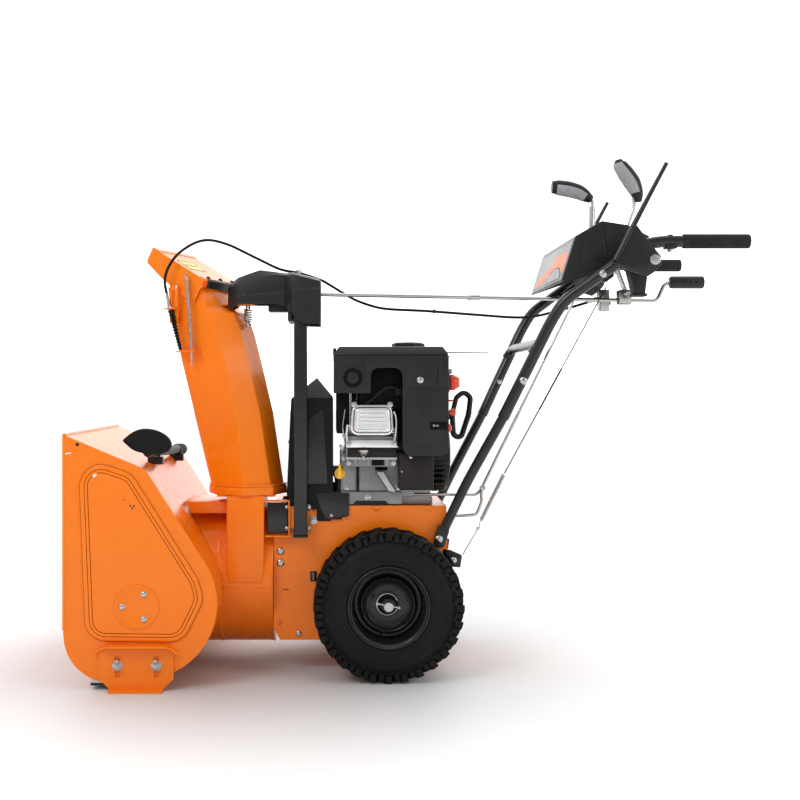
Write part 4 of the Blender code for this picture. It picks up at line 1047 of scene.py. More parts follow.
# ---------------------------------------------------------------- frame, wheels and belt cover
def build_frame_sides():
    """Each side of the frame: its bolts, marks, shade painted into its slots, tabs, the belt cover's feet
    and the rear bracket.
    """
    for side, sign in SIDES:
        out = (0, sign, 0)
        face = sign * (FRAME_SIDE + 0.0002)
        bolts = []
        for x, z in ((-0.2875, 0.276), (-0.2875, 0.249)):
            bolts += dome_head((x, face, z), out, 0.009, 0.0045)
        bolts += hex_head((-0.212, face, 0.347), out, 0.0115, 0.005, 0.0098)
        bolts += dome_head((-0.246, face, 0.0875), out, 0.007, 0.0035)
        bolts += dome_head((-0.171, face + sign * 0.0032, 0.357), out, 0.0048, 0.003)
        add(f"{side}_frame_bolts", "root", "zinc_steel", *bolts)
        add(f"{side}_frame_plug", "root", "panel_orange",
            dome_head((-0.2898, face, 0.114), out, 0.0062, 0.0035))
        low, high = sorted((face, face + sign * 0.0012))
        add(f"{side}_frame_clip", "root", "black_plastic",
            box((-0.2195, low, 0.207), (-0.2045, high, 0.2305), 0.0004))
        stripe_low, stripe_high = sorted((face + sign * 0.001, face + sign * 0.0018))
        add(f"{side}_frame_clip_mark", "root", "panel_grey",
            box((-0.214, stripe_low, 0.2105), (-0.2115, stripe_high, 0.2275), 0.0002))
        # painted shade: thin dark plates stand in for the shade inside a slot and two small square holes in
        # the frame
        slot_low, slot_high = sorted((face, face + sign * 0.0004))
        add(f"{side}_frame_slot_shade", "root", "dark_engine",
            box((-0.282, slot_low, 0.1875), (-0.269, slot_high, 0.1895), 0),
            box((-0.2245, slot_low, 0.3675), (-0.2205, slot_high, 0.3715), 0),
            box((-0.2135, slot_low, 0.3675), (-0.2095, slot_high, 0.3715), 0))
        for x in (-0.068, 0.05):
            tab = [(x - 0.01, 0.3795), (x + 0.01, 0.3795), (x + 0.004, 0.369), (x - 0.004, 0.369)]
            add("frame_top_tabs", "root", "orange_paint",
                soft(prism(tab, "y", *sorted((face, face + sign * 0.0025))), 0.0008))
        foot = [(-0.207, 0.41), (-0.195, 0.372), (-0.185, 0.352), (-0.181, 0.3488), (-0.149, 0.3488),
                (-0.146, 0.354), (-0.133, 0.356), (-0.131, 0.36), (-0.131, 0.41)]
        add("belt_cover_feet", "root", "black_paint",
            soft(prism(foot, "y", *on_side(sign, 0.1482, 0.15)), 0.0006))
        # rear corner bracket with its bush and bolt
        plate = [(0.082, 0.288), (0.1, 0.27), (0.128, 0.268), (0.124, 0.238), (0.104, 0.24), (0.082, 0.258)]
        add("rear_brackets", "root", "black_paint",
            pressing(plate, 0.004, on_side(sign, 0.135, 0.145), 0.001))
        add("rear_brackets", "root", "black_paint",
            rod("y", (0.108, 0, 0.256), *on_side(sign, 0.144, 0.15), 0.0125, 28))
        add("rear_bracket_bolts", "root", "zinc_steel",
            dome_head((0.108, sign * 0.15, 0.256), out, 0.0075, 0.0035))


def build_frame_covers():
    """The belly pan and the rear cover with its bolts."""
    pan = [(-0.285, 0.0755), (-0.1, 0.07), (0.08, 0.0755), (0.08, 0.0725), (-0.1, 0.067), (-0.285, 0.0725)]
    add("belly_pan", "root", "orange_paint", soft(prism(pan, "y", -0.13, 0.13), 0.0008))
    rear = [(0.085, 0.085), (0.0885, 0.085), (0.0885, 0.34), (0.085, 0.34)]
    add("rear_cover", "root", "orange_paint", soft(prism(rear, "y", -0.1405, 0.1405), 0.0008))
    bolts = []
    for y in (-0.115, 0.115):
        for z in (0.105, 0.32):
            bolts += hex_head((0.0885, y, z), BACK, 0.01, 0.0045, 0.0075)
    add("rear_cover_bolts", "root", "zinc_steel", *bolts)
    add("rear_cover_window", "root", "black_paint", box((0.088, -0.07, 0.15), (0.09, 0.07, 0.23), 0.0007))


def build_shift_rod():
    """The rod from the speed lever down to the frame, and its hooked link."""
    y = -0.126
    shift = rounded([(0.406, y, 0.89), (0.172, y, 0.412), (0.162, y, 0.4035), (-0.016, y, 0.4035)], 0.012)
    link = rounded([(0.178, y - 0.006, 0.425), (0.173, y - 0.006, 0.404), (0.176, y, 0.39),
                    (0.164, y, 0.358), (0.126, y + 0.006, 0.354), (0.09, y + 0.01, 0.356)],
                   0.008)
    add("shift_rod", "root", "zinc_steel", sweep(shift, 0.0034, 12), sweep(link, 0.0036, 12),
        rod("y", (0.176, 0, 0.42), y - 0.014, y + 0.006, 0.0058, 14))


def lug_block(radius_low, radius_high, y_low, y_high, angle, half_low, half_high, slant, centre):
    """One tread block: a tapered wedge between two radii, two Y values and two angles."""
    def faces(bm):
        rings = []
        for r, shrink in ((radius_low, 1.0), (radius_high - 0.001, 0.9), (radius_high, 0.78)):
            ring = []
            for y, half, turn in ((y_low, half_low, 0.0), (y_high, half_high, slant)):
                middle_y = (y_low + y_high) / 2
                yy = middle_y + (y - middle_y) * shrink
                signs = (-1, 1) if y == y_low else (1, -1)
                for s in signs:
                    a = angle + turn + s * half * shrink
                    ring.append(bm.verts.new((centre[0] + r * cos(a), centre[1] + yy,
                                              centre[2] + r * sin(a))))
            rings.append(ring)
        join_rings(bm, rings)
        bm.faces.new(rings[0])
        bm.faces.new(rings[-1][::-1])

    return new_solid(faces)


def build_wheels():
    """Tyres with their lugs, rims, valve stems and axle pins."""
    tread, carcass = TYRE_RADIUS - 0.0004, 0.1515
    half = [(0, carcass), (0.03, carcass - 0.0008), (0.0415, 0.1508), (0.0462, 0.1475), (0.048, 0.1462),
            (0.0482, 0.1448), (0.0474, 0.1436), (0.049, 0.1415), (0.0512, 0.133), (0.052, 0.132),
            (0.052, 0.13), (0.0513, 0.129), (0.0518, 0.123), (0.0525, 0.122), (0.0525, 0.1205),
            (0.0518, 0.1195), (0.0516, 0.112), (0.0508, 0.104), (0.05, 0.103), (0.05, 0.1015),
            (0.0506, 0.1005), (0.05, 0.096), (0.0485, 0.0925), (0.047, 0.0916), (0.043, 0.083)]
    tyre = half + [(-a, r) for a, r in half[:0:-1]]
    rim = [(0.043, 0.0818), (0.046, 0.085), (0.047, 0.0895), (0.049, 0.0912), (0.051, 0.0912),
           (0.0522, 0.0898), (0.0522, 0.0882), (0.0505, 0.0868), (0.048, 0.085), (0.0468, 0.0835),
           (0.044, 0.08), (0.015, 0.079), (-0.006, 0.078), (-0.0105, 0.076), (-0.012, 0.072),
           (-0.0115, 0.065), (-0.008, 0.0622), (0.005, 0.0615), (0.0085, 0.0608), (0.0098, 0.0592),
           (0.0092, 0.0575), (0.006, 0.0555), (0.001, 0.05), (-0.002, 0.042), (-0.003, 0.032),
           (-0.002, 0.023), (0.002, 0.018), (0.02, 0.0165), (0.0252, 0.016), (0.0258, 0.015),
           (0.0258, 0.0098), (-0.027, 0.0098), (-0.027, 0.0175), (-0.008, 0.0185), (-0.009, 0.042),
           (0.0, 0.054), (-0.014, 0.064), (-0.015, 0.079), (-0.043, 0.08), (-0.047, 0.084), (-0.0505, 0.09),
           (-0.049, 0.0915), (-0.046, 0.088), (-0.0425, 0.083)]
    centre = (AXLE[0], 0, AXLE[1])
    rows = 28
    step = 2 * pi / rows
    for side, sign in SIDES:
        middle = (AXLE[0], sign * WHEEL_MIDDLE, AXLE[1])
        add(f"{side}_tyre_carcass", "wheels", "rubber",
            lathe([(sign * a, r) for a, r in tyre], "y", middle, 120), replaces=[f"{side}_tyre"], smooth=28)
        blocks = []
        for k in range(rows):
            for end in (-1, 1):
                phase = (k + (0.5 if end > 0 else 0.0)) * step
                # shoulder block with a narrower heel on the sidewall, then the tilted blocks of the centre
                blocks.append(lug_block(0.148, tread, end * 0.0518, end * 0.033, phase, 0.046, 0.056,
                                        end * 0.05, middle))
                blocks.append(lug_block(0.146, 0.16, end * 0.053, end * 0.047, phase + step * 0.5, 0.03,
                                        0.04, end * -0.02, middle))
                blocks.append(lug_block(0.148, tread - 0.001, end * 0.039, end * 0.023, phase + step * 0.5,
                                        0.034, 0.046, end * 0.06, middle))
                blocks.append(lug_block(0.148, tread, end * 0.025, end * 0.0035, phase + step * 0.92, 0.04,
                                        0.044, end * 0.1, middle))
        add(f"{side}_tyre_lugs", "wheels", "rubber", *blocks, smooth=20)
        add(f"{side}_rim_dish", "wheels", "black_paint",
            lathe([(sign * a, r) for a, r in rim], "y", middle, 96), replaces=[f"{side}_rim"], smooth=50)
        stem_at = Vector((AXLE[0] - 0.0133 * (1 if sign < 0 else -1), middle[1], AXLE[1] - 0.064))
        stem = lathe([(-0.01, 0), (-0.01, 0.004), (0.006, 0.0036), (0.012, 0.0028), (0.02, 0.0026),
                      (0.0205, 0.0032), (0.0265, 0.0032), (0.027, 0)],
                     "z", ORIGIN, 16)
        add(f"{side}_valve_stem", "wheels", "rubber",
            place(stem, stem_at + Vector((0, sign * -0.004, 0)), (0.06, sign * 0.9, 0.28)))
        face = sign * (WHEEL_MIDDLE + 0.0325)
        pin = [(AXLE[0] - 0.0262, face, AXLE[1] + 0.0072), (AXLE[0] + 0.0245, face, AXLE[1] - 0.0022)]
        ring = [(AXLE[0] - 0.003 + 0.0235 * cos(a), face + sign * 0.0025, AXLE[1] + 0.006 + 0.0235 * sin(a))
                for a in [radians(20 + 320 * k / 40) for k in range(41)]]
        add(f"{side}_axle_pin", "wheels", "zinc_steel", sweep(pin, 0.0026, 12), sweep(ring, 0.0011, 8),
            rod("y", (AXLE[0] - 0.0245, face, AXLE[1] + 0.0068), -0.0035, 0.0035, 0.0036, 14),
            rod("y", (AXLE[0] + 0.0232, face, AXLE[1] - 0.002), -0.003, 0.003, 0.003, 14))
        add(f"{side}_hub_sleeve", "wheels", "zinc_steel",
            rod("y", centre, *on_side(sign, 0.233, 0.2458), 0.0108, 32, 0.0012))


def build_belt_cover_details():
    """The belt cover's ribs, front plate and bolt."""
    for _, sign in SIDES:
        ridge = [(-0.253, 0.43), (-0.2475, 0.56), (-0.19, 0.6), (-0.18, 0.43)]
        add("belt_cover_ribs", "root", "black_paint",
            soft(prism(ridge, "y", *on_side(sign, 0.1478, 0.1496)), 0.0015, 3))
    front = [(x - 0.0002 - lift, y, z) for x, z in ((-0.2728, 0.3735), (-0.2622, 0.624))
             for y in (-0.1476, 0.1476) for lift in (0.0, 0.001)]
    add("belt_cover_front", "root", "dark_cover", soft(hull(front), 0.0004, 1))
    raised_field = [(x - 0.001 - lift, y, z) for x, z in ((-0.2722, 0.4), (-0.2632, 0.6))
                    for y in (-0.11, 0.11) for lift in (0.0, 0.0018)]
    add("belt_cover_front", "root", "dark_cover", soft(hull(raised_field), 0.0012, 3))
    add("belt_cover_bolt", "root", "zinc_steel",
        hex_head((-0.2695, 0.0, 0.52), (-1, 0, 0.03), 0.011, 0.005, 0.0095))


# ---------------------------------------------------------------- engine
def build_engine_hood():
    """One moulded hood with an arch and a rear lobe, its lid and its side panels."""
    front, rear, top = -0.166, 0.092, 0.741
    near, far = -0.2, 0.15
    lobe = rounded([(rear, 0.6), (rear, 0.496), (-0.012, 0.496), (-0.012, 0.64)], 0.026, 8)
    arch = rounded([(-0.012, 0.6), (-0.012, 0.694), (-0.083, 0.694), (-0.083, 0.637)], 0.022, 8)
    hood_top = 0.7215
    roof = [(front, 0.637), (front, hood_top), (rear, hood_top)]
    outline = [*roof, *lobe[:-1], *arch[1:]]
    wall = 0.003
    hollow = [(front + wall, 0.4), (front + wall, hood_top - wall), (rear - wall, hood_top - wall),
              (rear - wall, 0.4)]
    hood = bmesh_cut(prism(outline, "y", near, far), [prism(hollow, "y", near + wall, far - wall)])
    add("engine_hood", "root", "black_plastic", soft(hood, 0.0022, 3, 35), replaces=["engine_shroud"],
        smooth=35)
    # parting line, control panel edge and panels standing proud by less than a millimetre
    add("engine_hood_seam", "root", "black_plastic",
        soft(prism([(front - 0.0008, 0.718), (rear + 0.0008, 0.718), (rear + 0.0008, 0.7215),
                    (front - 0.0008, 0.7215)],
                   "y", near - 0.0008, far + 0.0008),
             0.0006))
    lid = []
    for inset, z in ((0.001, 0.721), (0.001, 0.7262), (0.0125, top + 0.0015)):
        lid += [(x, y, z) for x in (front + inset, rear - inset) for y in (near + inset, far - inset)]
    add("engine_lid", "root", "black_plastic", soft(hull(lid), 0.003, 3))
    add("engine_lid", "root", "black_plastic",
        soft(box((front - 0.0015, -0.15, 0.729), (front + 0.006, 0.1, 0.74), 0), 0.001))
    for sides, corner, proud, steps in (
        ((-0.006, 0.652, 0.064, 0.712), 0.002, -0.2012, 3),
        ((0.0685, 0.652, 0.091, 0.712), 0.002, -0.2018, 3),
        ((-0.16, 0.65, -0.096, 0.712), 0.004, -0.2012, 3),
        ((-0.004, 0.52, 0.084, 0.647), 0.018, -0.201, 6)):
        add("engine_side_panels", "root", "black_plastic",
            pressing(rectangle(*sides), corner, (proud, -0.199), 0.0008, steps=steps))


def build_starter_inlet():
    """The socket for the electric starter's cord."""
    socket = [(-0.199, 0.0), (-0.199, 0.0214), (-0.2045, 0.0214), (-0.206, 0.02), (-0.206, 0.016),
              (-0.201, 0.015), (-0.2005, 0.0)]
    inlet = (-0.123, 0, 0.672)
    add("starter_inlet", "root", "deep_black", lathe(socket, "y", inlet, 40))
    prongs = [rod("y", (inlet[0] + dx, 0, inlet[2] + dz), -0.2045, -0.2, 0.0018, 10)
              for dx, dz in ((-0.006, 0.003), (0.006, 0.003), (0, -0.006))]
    add("starter_inlet_pins", "root", "black_plastic", rod("y", inlet, -0.2042, -0.2008, 0.0125, 32))
    add("starter_inlet_pins", "root", "black_plastic", *prongs)
    corners = [(inlet[0] + dx, inlet[2] + dz) for dx in (-0.018, 0.018) for dz in (-0.018, 0.018)]
    add("starter_inlet_screws", "root", "black_paint",
        *[shape for x, z in corners for shape in dome_head((x, -0.2012, z), LEFT, 0.0016, 0.0008)])


def build_hood_details():
    """Screws, the switch window, and deep-black blocks painted as the shade of the works seen through the
    arch.
    """
    add("engine_screws", "root", "zinc_steel",
        dome_head((0.0277, -0.2012, 0.6665), LEFT, 0.0078, 0.003),
        dome_head((0.0277, 0.1502, 0.6665), RIGHT, 0.0078, 0.003),
        dome_head((-0.14, 0.1502, 0.6665), RIGHT, 0.0078, 0.003))
    add("switch_window", "root", "deep_black",
        box((0.05, -0.2022, 0.556), (0.0885, -0.2008, 0.5735), 0.0004))
    add("switch_window_mark", "root", "panel_grey",
        place(rod("z", ORIGIN, 0, 0.0004, 0.0028, 16, 0.0001), (0.0585, -0.2022, 0.5648), LEFT),
        box((0.063, -0.2027, 0.5632), (0.069, -0.2021, 0.5664), 0.0001))
    # painted shade: deep-black blocks stand in for the shadowed works seen through the arch
    add("engine_works_painted_shade", "root", "deep_black",
        box((-0.11, -0.165, 0.6), (0.0, 0.08, 0.7), 0.006, 3),
        box((-0.16, -0.15, 0.545), (-0.13, 0.08, 0.64), 0.004))
    add("spark_lead", "root", "rubber",
        sweep(smooth_route([(-0.094, -0.176, 0.612), (-0.07, -0.186, 0.632), (-0.045, -0.184, 0.65),
                            (-0.02, -0.18, 0.646), (-0.004, -0.176, 0.63)]),
              0.0036, 12),
        rod("y", (-0.02, 0, 0.64), -0.187, -0.165, 0.0085, 20))


def build_fuel_cap():
    """A cap with a knurled skirt."""
    cap = []
    count = 48
    for k in range(count):
        r = 0.039 if k % 2 else 0.0378
        cap.append((0.01 + r * cos(2 * pi * k / count), -0.06 + r * sin(2 * pi * k / count)))
    add("fuel_cap_top", "fuel_cap", "black_plastic",
        soft(prism(cap, "z", 0.7433, 0.7535), 0.0008, 2, 50),
        lathe([(0.753, 0), (0.753, 0.036), (0.7545, 0.035), (0.756, 0.03), (0.7566, 0.018), (0.7568, 0)],
              "z", (0.01, -0.06, 0), 48),
        replaces=["fuel_cap"])


def build_valve_cover():
    """A casting with a stepped face, plain ribs and flange bolts."""
    def cover_ring(grow, y):
        outline = [(-0.125, 0.546), (-0.034, 0.546), (-0.038, 0.607), (-0.121, 0.607)]
        return [(x, y, z) for x, z in rounded_loop(outline, 0.013, grow, 6)]

    rings_of = [cover_ring(0.004, -0.13), cover_ring(0.004, -0.179), cover_ring(0.003, -0.18),
                cover_ring(0.0, -0.1803), cover_ring(-0.0008, -0.182), cover_ring(-0.002, -0.195),
                cover_ring(-0.004, -0.1985), cover_ring(-0.008, -0.2), cover_ring(-0.0105, -0.1996),
                cover_ring(-0.012, -0.1978)]

    def cover(bm):
        rings = [[bm.verts.new(p) for p in ring] for ring in rings_of]
        join_rings(bm, rings)
        bm.faces.new(rings[0])
        bm.faces.new(rings[-1])

    add("valve_cover_casting", "root", "bright_casting", new_solid(cover), replaces=["valve_cover"],
        smooth=50)
    for z in (0.57, 0.579, 0.588):
        add("valve_cover_ribs", "root", "bright_casting",
            pressing(rectangle(-0.108, z, -0.052, z + 0.0042), 0.0015, (-0.199, -0.197), 0.0006))
    bolts = []
    for x, z in ((-0.132, 0.5235), (-0.03, 0.5235), (-0.12, 0.6115), (-0.039, 0.6115)):
        bolts += hex_head((x, -0.18, z), LEFT, 0.009, 0.0045, 0.0066)
    add("valve_cover_bolts", "root", "zinc_steel", *bolts)


def build_cylinder_head():
    """Fins, the gasket flange with its two rods, and the shield below."""
    fins = []
    for k in range(5):
        z = 0.5305 + 0.006 * k
        fins.append(box((-0.1385, -0.15, z), (-0.02, -0.1, z + 0.0026), 0.0006, 1))
    add("engine_fins", "root", "cast_grey", *fins)
    flange = pressing(rectangle(-0.139, 0.514, -0.023, 0.531), 0.004, (-0.179, -0.11), 0.0016, 3)
    add("head_gasket_flange", "root", "bright_casting", flange)
    add("head_gasket_flange", "root", "bright_casting",
        sweep([(-0.136, -0.176, 0.529), (-0.1375, -0.176, 0.545), (-0.135, -0.176, 0.566)], 0.003, 12),
        sweep(smooth_route([(-0.029, -0.176, 0.529), (-0.025, -0.176, 0.55), (-0.0245, -0.176, 0.578),
                            (-0.029, -0.176, 0.596)],
                           4),
              0.0026, 12))
    add("head_shield", "root", "dark_engine",
        box((-0.135, -0.173, 0.4925), (-0.024, -0.11, 0.5145), 0.002, 3))


def build_crankcase():
    """The cover with its pads, the shade painted into its groove and recess, its strut, and the engine foot
    with the bolts.
    """
    case = [(-0.15, 0.398), (0.02, 0.398), (0.02, 0.47), (-0.02, 0.5), (-0.13, 0.5), (-0.15, 0.48)]
    add("crankcase_cover", "root", "cast_grey", pressing(case, 0.008, (-0.133, -0.12), 0.0025, 3, steps=5))
    add("crankcase_cover", "root", "cast_grey",
        pressing([(-0.146, 0.413), (-0.116, 0.413), (-0.116, 0.48), (-0.146, 0.48)], 0.006, (-0.137, -0.13),
                 0.0015, 3, steps=4),
        pressing([(-0.106, 0.413), (-0.042, 0.413), (-0.072, 0.456), (-0.074, 0.48), (-0.106, 0.48)], 0.004,
                 (-0.136, -0.13), 0.0015, 3, steps=4))
    # painted shade: a deep-black rod and block stand in for the shade in a groove and a recess of the cover
    groove = rounded([(-0.095, -0.1352, 0.484), (-0.111, -0.1352, 0.474), (-0.111, -0.1352, 0.412)], 0.01, 6)
    add("crankcase_groove_shade", "root", "deep_black", sweep(groove, 0.0026, 10),
        box((-0.072, -0.1362, 0.46), (-0.043, -0.13, 0.484), 0.0015, 3))
    strut = [(-0.069, 0.459), (-0.052, 0.459), (-0.023, 0.412), (-0.04, 0.412)]
    add("crankcase_strut", "root", "cast_aluminium", soft(prism(strut, "y", -0.156, -0.133), 0.002, 3))
    foot = [(-0.148, 0.383), (-0.01, 0.383), (-0.01, 0.411), (-0.148, 0.411)]
    add("engine_foot", "root", "cast_grey", pressing(foot, 0.003, (-0.144, -0.118), 0.0015, 2))
    hollow = rounded_loop([(-0.126, 0.3805), (-0.036, 0.3805), (-0.048, 0.391), (-0.114, 0.391)], 0.003,
                          steps=3)
    add("engine_foot_shadow", "root", "dark_engine", prism(hollow, "y", -0.1446, -0.12))
    bolts = hex_head((-0.088, -0.144, 0.4), LEFT, 0.0105, 0.005, 0.008)
    for x, z in ((-0.136, 0.4185), (-0.02, 0.4185), (-0.142, 0.488), (-0.06, 0.496)):
        bolts += hex_head((x, -0.133, z), LEFT, 0.009, 0.005, 0.0065)
    for y in (-0.095, 0.095):
        bolts += hex_head((-0.14, y, 0.3965), UP, 0.011, 0.0055, 0.008)
        bolts += hex_head((0.048, y, 0.3965), UP, 0.011, 0.0055, 0.008)
    add("engine_bolts", "root", "zinc_steel", *bolts)


def build_head_seat():
    """The machined ledge that the head sits on."""
    seat = box((-0.1395, -0.175, 0.4868), (-0.0225, -0.16, 0.4925), 0.0012, 2)
    ribs = [box((x, -0.174, 0.4725), (x + 0.003, -0.165, 0.487), 0.0006, 1) for x in (-0.118, -0.09, -0.048)]
    add("head_seat", "root", "cast_aluminium", seat, *ribs)
    add("head_seat_shadow", "root", "deep_black",
        box((-0.08, -0.1735, 0.4735), (-0.052, -0.165, 0.4862), 0.0008, 2))
    add("head_seat_bolts", "root", "zinc_steel",
        hex_head((-0.132, -0.1738, 0.4795), LEFT, 0.008, 0.004, 0.0058),
        hex_head((-0.031, -0.1738, 0.4795), LEFT, 0.008, 0.004, 0.0058))


def build_governor():
    """The governor's arm, its link and its cone."""
    add("governor_link", "root", "zinc_steel",
        sweep(rounded([(-0.148, -0.15, 0.5), (-0.14, -0.158, 0.52), (-0.146, -0.16, 0.56),
                       (-0.14, -0.155, 0.6)],
                      0.01),
              0.0016, 8),
        rod("y", (-0.142, 0, 0.539), -0.165, -0.15, 0.005, 16),
        rod("y", (-0.15, 0, 0.516), -0.16, -0.145, 0.004, 14))
    cone = lathe([(0.509, 0), (0.509, 0.014), (0.506, 0.0138), (0.496, 0.0052), (0.494, 0.0036),
                  (0.486, 0.0034), (0.485, 0)],
                 "z", (-0.099, -0.178, 0), 28)
    add("governor_link", "root", "zinc_steel", cone)


def build_oil_filler():
    """The neck, and the cap with its blade."""
    add("oil_neck", "root", "dark_engine",
        rod("y", (-0.152, 0, 0.453), -0.13, -0.11, 0.016, 28),
        rod("z", (-0.152, -0.118, 0), 0.398, 0.45, 0.012, 20),
        rod("y", (-0.158, 0, 0.405), -0.14, -0.12, 0.009, 20))
    cap = rod("y", (-0.152, 0, 0.453), -0.14, -0.1256, 0.013, 28, 0.002)
    blade = [(-0.1565, 0.445), (-0.1475, 0.445), (-0.149, 0.4745), (-0.155, 0.4745)]
    add("oil_cap_and_blade", "oil_cap", "yellow_plastic", cap,
        pressing(blade, 0.0018, (-0.157, -0.138), 0.0008), replaces=["oil_cap"])


def build_starter_box():
    """The flat cover below the hood's rear lobe."""
    box_side = [(-0.019, 0.418), (0.06, 0.418), (0.06, 0.506), (-0.019, 0.5)]
    add("starter_box", "root", "dark_engine",
        pressing(box_side, 0.006, (-0.178, -0.1255), 0.003, 3, steps=4))
    add("starter_box_screw", "root", "zinc_steel",
        dome_head((-0.012, -0.178, 0.46), LEFT, 0.0022, 0.001),
        dome_head((0.008, -0.1782, 0.4925), LEFT, 0.0038, 0.0015))


def build_recoil_starter():
    """The round grille, the vents on its side, the pull loop and its guide."""
    centre = (0, -0.025, 0.49)
    shell = [(0.064, 0), (0.064, 0.085), (0.086, 0.085), (0.0975, 0.084), (0.101, 0.0815), (0.101, 0.08),
             (0.096, 0.078), (0.09, 0.077), (0.09, 0)]
    add("recoil_shell", "root", "black_plastic", lathe(shell, "x", centre, 64), replaces=["recoil_housing"])
    ribs = []
    for k in range(44):
        a = 2 * pi * k / 44
        for r0, r1 in ((0.034, 0.056), (0.059, 0.081)):
            corners = []
            for r in (r0, r1):
                for s in (-1, 1):
                    for x in (0.0895, 0.1065 - 0.004 * (r1 > 0.06)):
                        corners.append((x, centre[1] + r * cos(a) - s * 0.0014 * sin(a),
                                        centre[2] + r * sin(a) + s * 0.0014 * cos(a)))
            ribs.append(hull(corners))
    for k in range(48):
        a = 2 * pi * k / 48
        for x0, x1 in ((0.068, 0.08), (0.083, 0.095)):
            corners = [(x, centre[1] + r * cos(a) - s * 0.0026 * sin(a),
                        centre[2] + r * sin(a) + s * 0.0026 * cos(a))
                       for x in (x0, x1) for r in (0.084, 0.0868) for s in (-1, 1)]
            ribs.append(hull(corners))
    for x, r in ((0.1055, 0.0575), (0.101, 0.0805), (0.106, 0.033)):
        ring = [(x, centre[1] + r * cos(2 * pi * k / 64), centre[2] + r * sin(2 * pi * k / 64))
                for k in range(64)]
        ribs.append(sweep(ring, 0.002, 8, closed=True))
    ribs.append(rod("x", centre, 0.09, 0.1085, 0.031, 40, 0.003))
    add("recoil_grille", "root", "black_plastic", *ribs)
    side_ribs = []
    for k in range(10):
        z = 0.425 + 0.0125 * k
        side_ribs.append(box((0.064, -0.1145, z), (0.09, -0.085, z + 0.0045), 0.0008, 1))
    add("recoil_side_vents", "root", "black_plastic", *side_ribs)
    loop = rounded_loop([(0.1175, 0.588), (0.127, 0.626), (0.145, 0.641), (0.161, 0.626), (0.156, 0.585),
                         (0.14, 0.536), (0.126, 0.52), (0.119, 0.545)],
                        0.012, steps=5)
    path = [(x, -0.03, z) for x, z in loop]
    add("starter_pull_loop", "starter_handle", "black_plastic",
        sweep(path, 0.006, 14, closed=True, flat=1.25),
        rod("x", (0, -0.03, 0.585), 0.113, 0.119, 0.009, 20), replaces=["starter_handle"])
    add("starter_rope_guide", "root", "black_plastic",
        rod("x", (0, -0.03, 0.585), 0.088, 0.112, 0.011, 24),
        box((0.09, -0.042, 0.548), (0.1035, -0.018, 0.61), 0.003, 3))


def build_engine_controls():
    """The knobs, key, bulb, plate and lever of the control panel."""
    knob = []
    for k in range(36):
        r = 0.0185 if k % 3 else 0.0172
        knob.append((-0.15 + r * cos(2 * pi * k / 36), 0.6615 + r * sin(2 * pi * k / 36)))
    add("choke_knob_wheel", "choke_knob", "red_plastic",
        soft(prism(knob, "x", 0.099, 0.11), 0.002, 2, 40),
        lathe([(0.109, 0), (0.109, 0.0172), (0.114, 0.0155), (0.118, 0.0115), (0.1195, 0.006), (0.1198, 0)],
              "x", (0, -0.15, 0.6615), 36),
        soft(hull([(x, y, z) for x in (0.115, 0.1215) for y in (-0.152, -0.148) for z in (0.65, 0.673)]),
             0.001),
        rod("x", (0, -0.15, 0.6615), 0.0924, 0.1, 0.008, 20), replaces=["choke_knob"])
    add("throttle_knob", "root", "panel_grey", rod("x", (0, -0.15, 0.687), 0.0922, 0.104, 0.006, 20, 0.002))
    add("ignition_key_blade", "ignition_key", "red_plastic",
        pressing([(0.0985, 0.5875), (0.112, 0.5855), (0.112, 0.6025), (0.0985, 0.6005)], 0.002,
                 (-0.1535, -0.1465), 0.0008),
        box((0.0925, -0.1515, 0.5915), (0.1, -0.1485, 0.5965), 0.0004), replaces=["ignition_key"])
    add("primer_bulb", "root", "red_plastic",
        lathe([(0.0922, 0), (0.0922, 0.0105), (0.096, 0.01), (0.101, 0.0078), (0.1035, 0.0045), (0.104, 0)],
              "x", (0, -0.15, 0.5575), 28))
    add("control_bezels", "root", "zinc_steel",
        lathe([(0.0922, 0.0112), (0.0922, 0.0132), (0.0945, 0.013), (0.0945, 0.0114)], "x",
              (0, -0.15, 0.575), 32))
    add("fuel_valve_lever", "root", "red_plastic",
        box((0.0922, -0.158, 0.618), (0.1065, -0.142, 0.6225), 0.001))
    add("control_plate", "root", "black_plastic",
        box((0.0918, -0.185, 0.64), (0.0955, -0.11, 0.684), 0.0012))
    add("throttle_wire", "root", "dark_engine",
        sweep([(0.08, -0.15, 0.73), (0.188, -0.15, 0.729)], 0.0013, 8))


def build_muffler_guard():
    """The slats over the muffler, its pipe and the air intake."""
    guard = []
    for k in range(6):
        z = 0.562 + 0.021 * k
        guard.append(box((-0.112, 0.214, z), (0.022, 0.2185, z + 0.008), 0.001, 1))
    add("muffler_guard", "root", "black_paint", *guard)
    add("exhaust_pipe", "root", "zinc_steel",
        rod("x", (0, 0.186, 0.575), 0.03, 0.062, 0.0125, 28, 0.002),
        box((-0.12, 0.15, 0.59), (-0.06, 0.156, 0.65), 0.001))
    add("air_intake", "root", "black_plastic", box((-0.12, 0.149, 0.69), (0.05, 0.156, 0.712), 0.002))


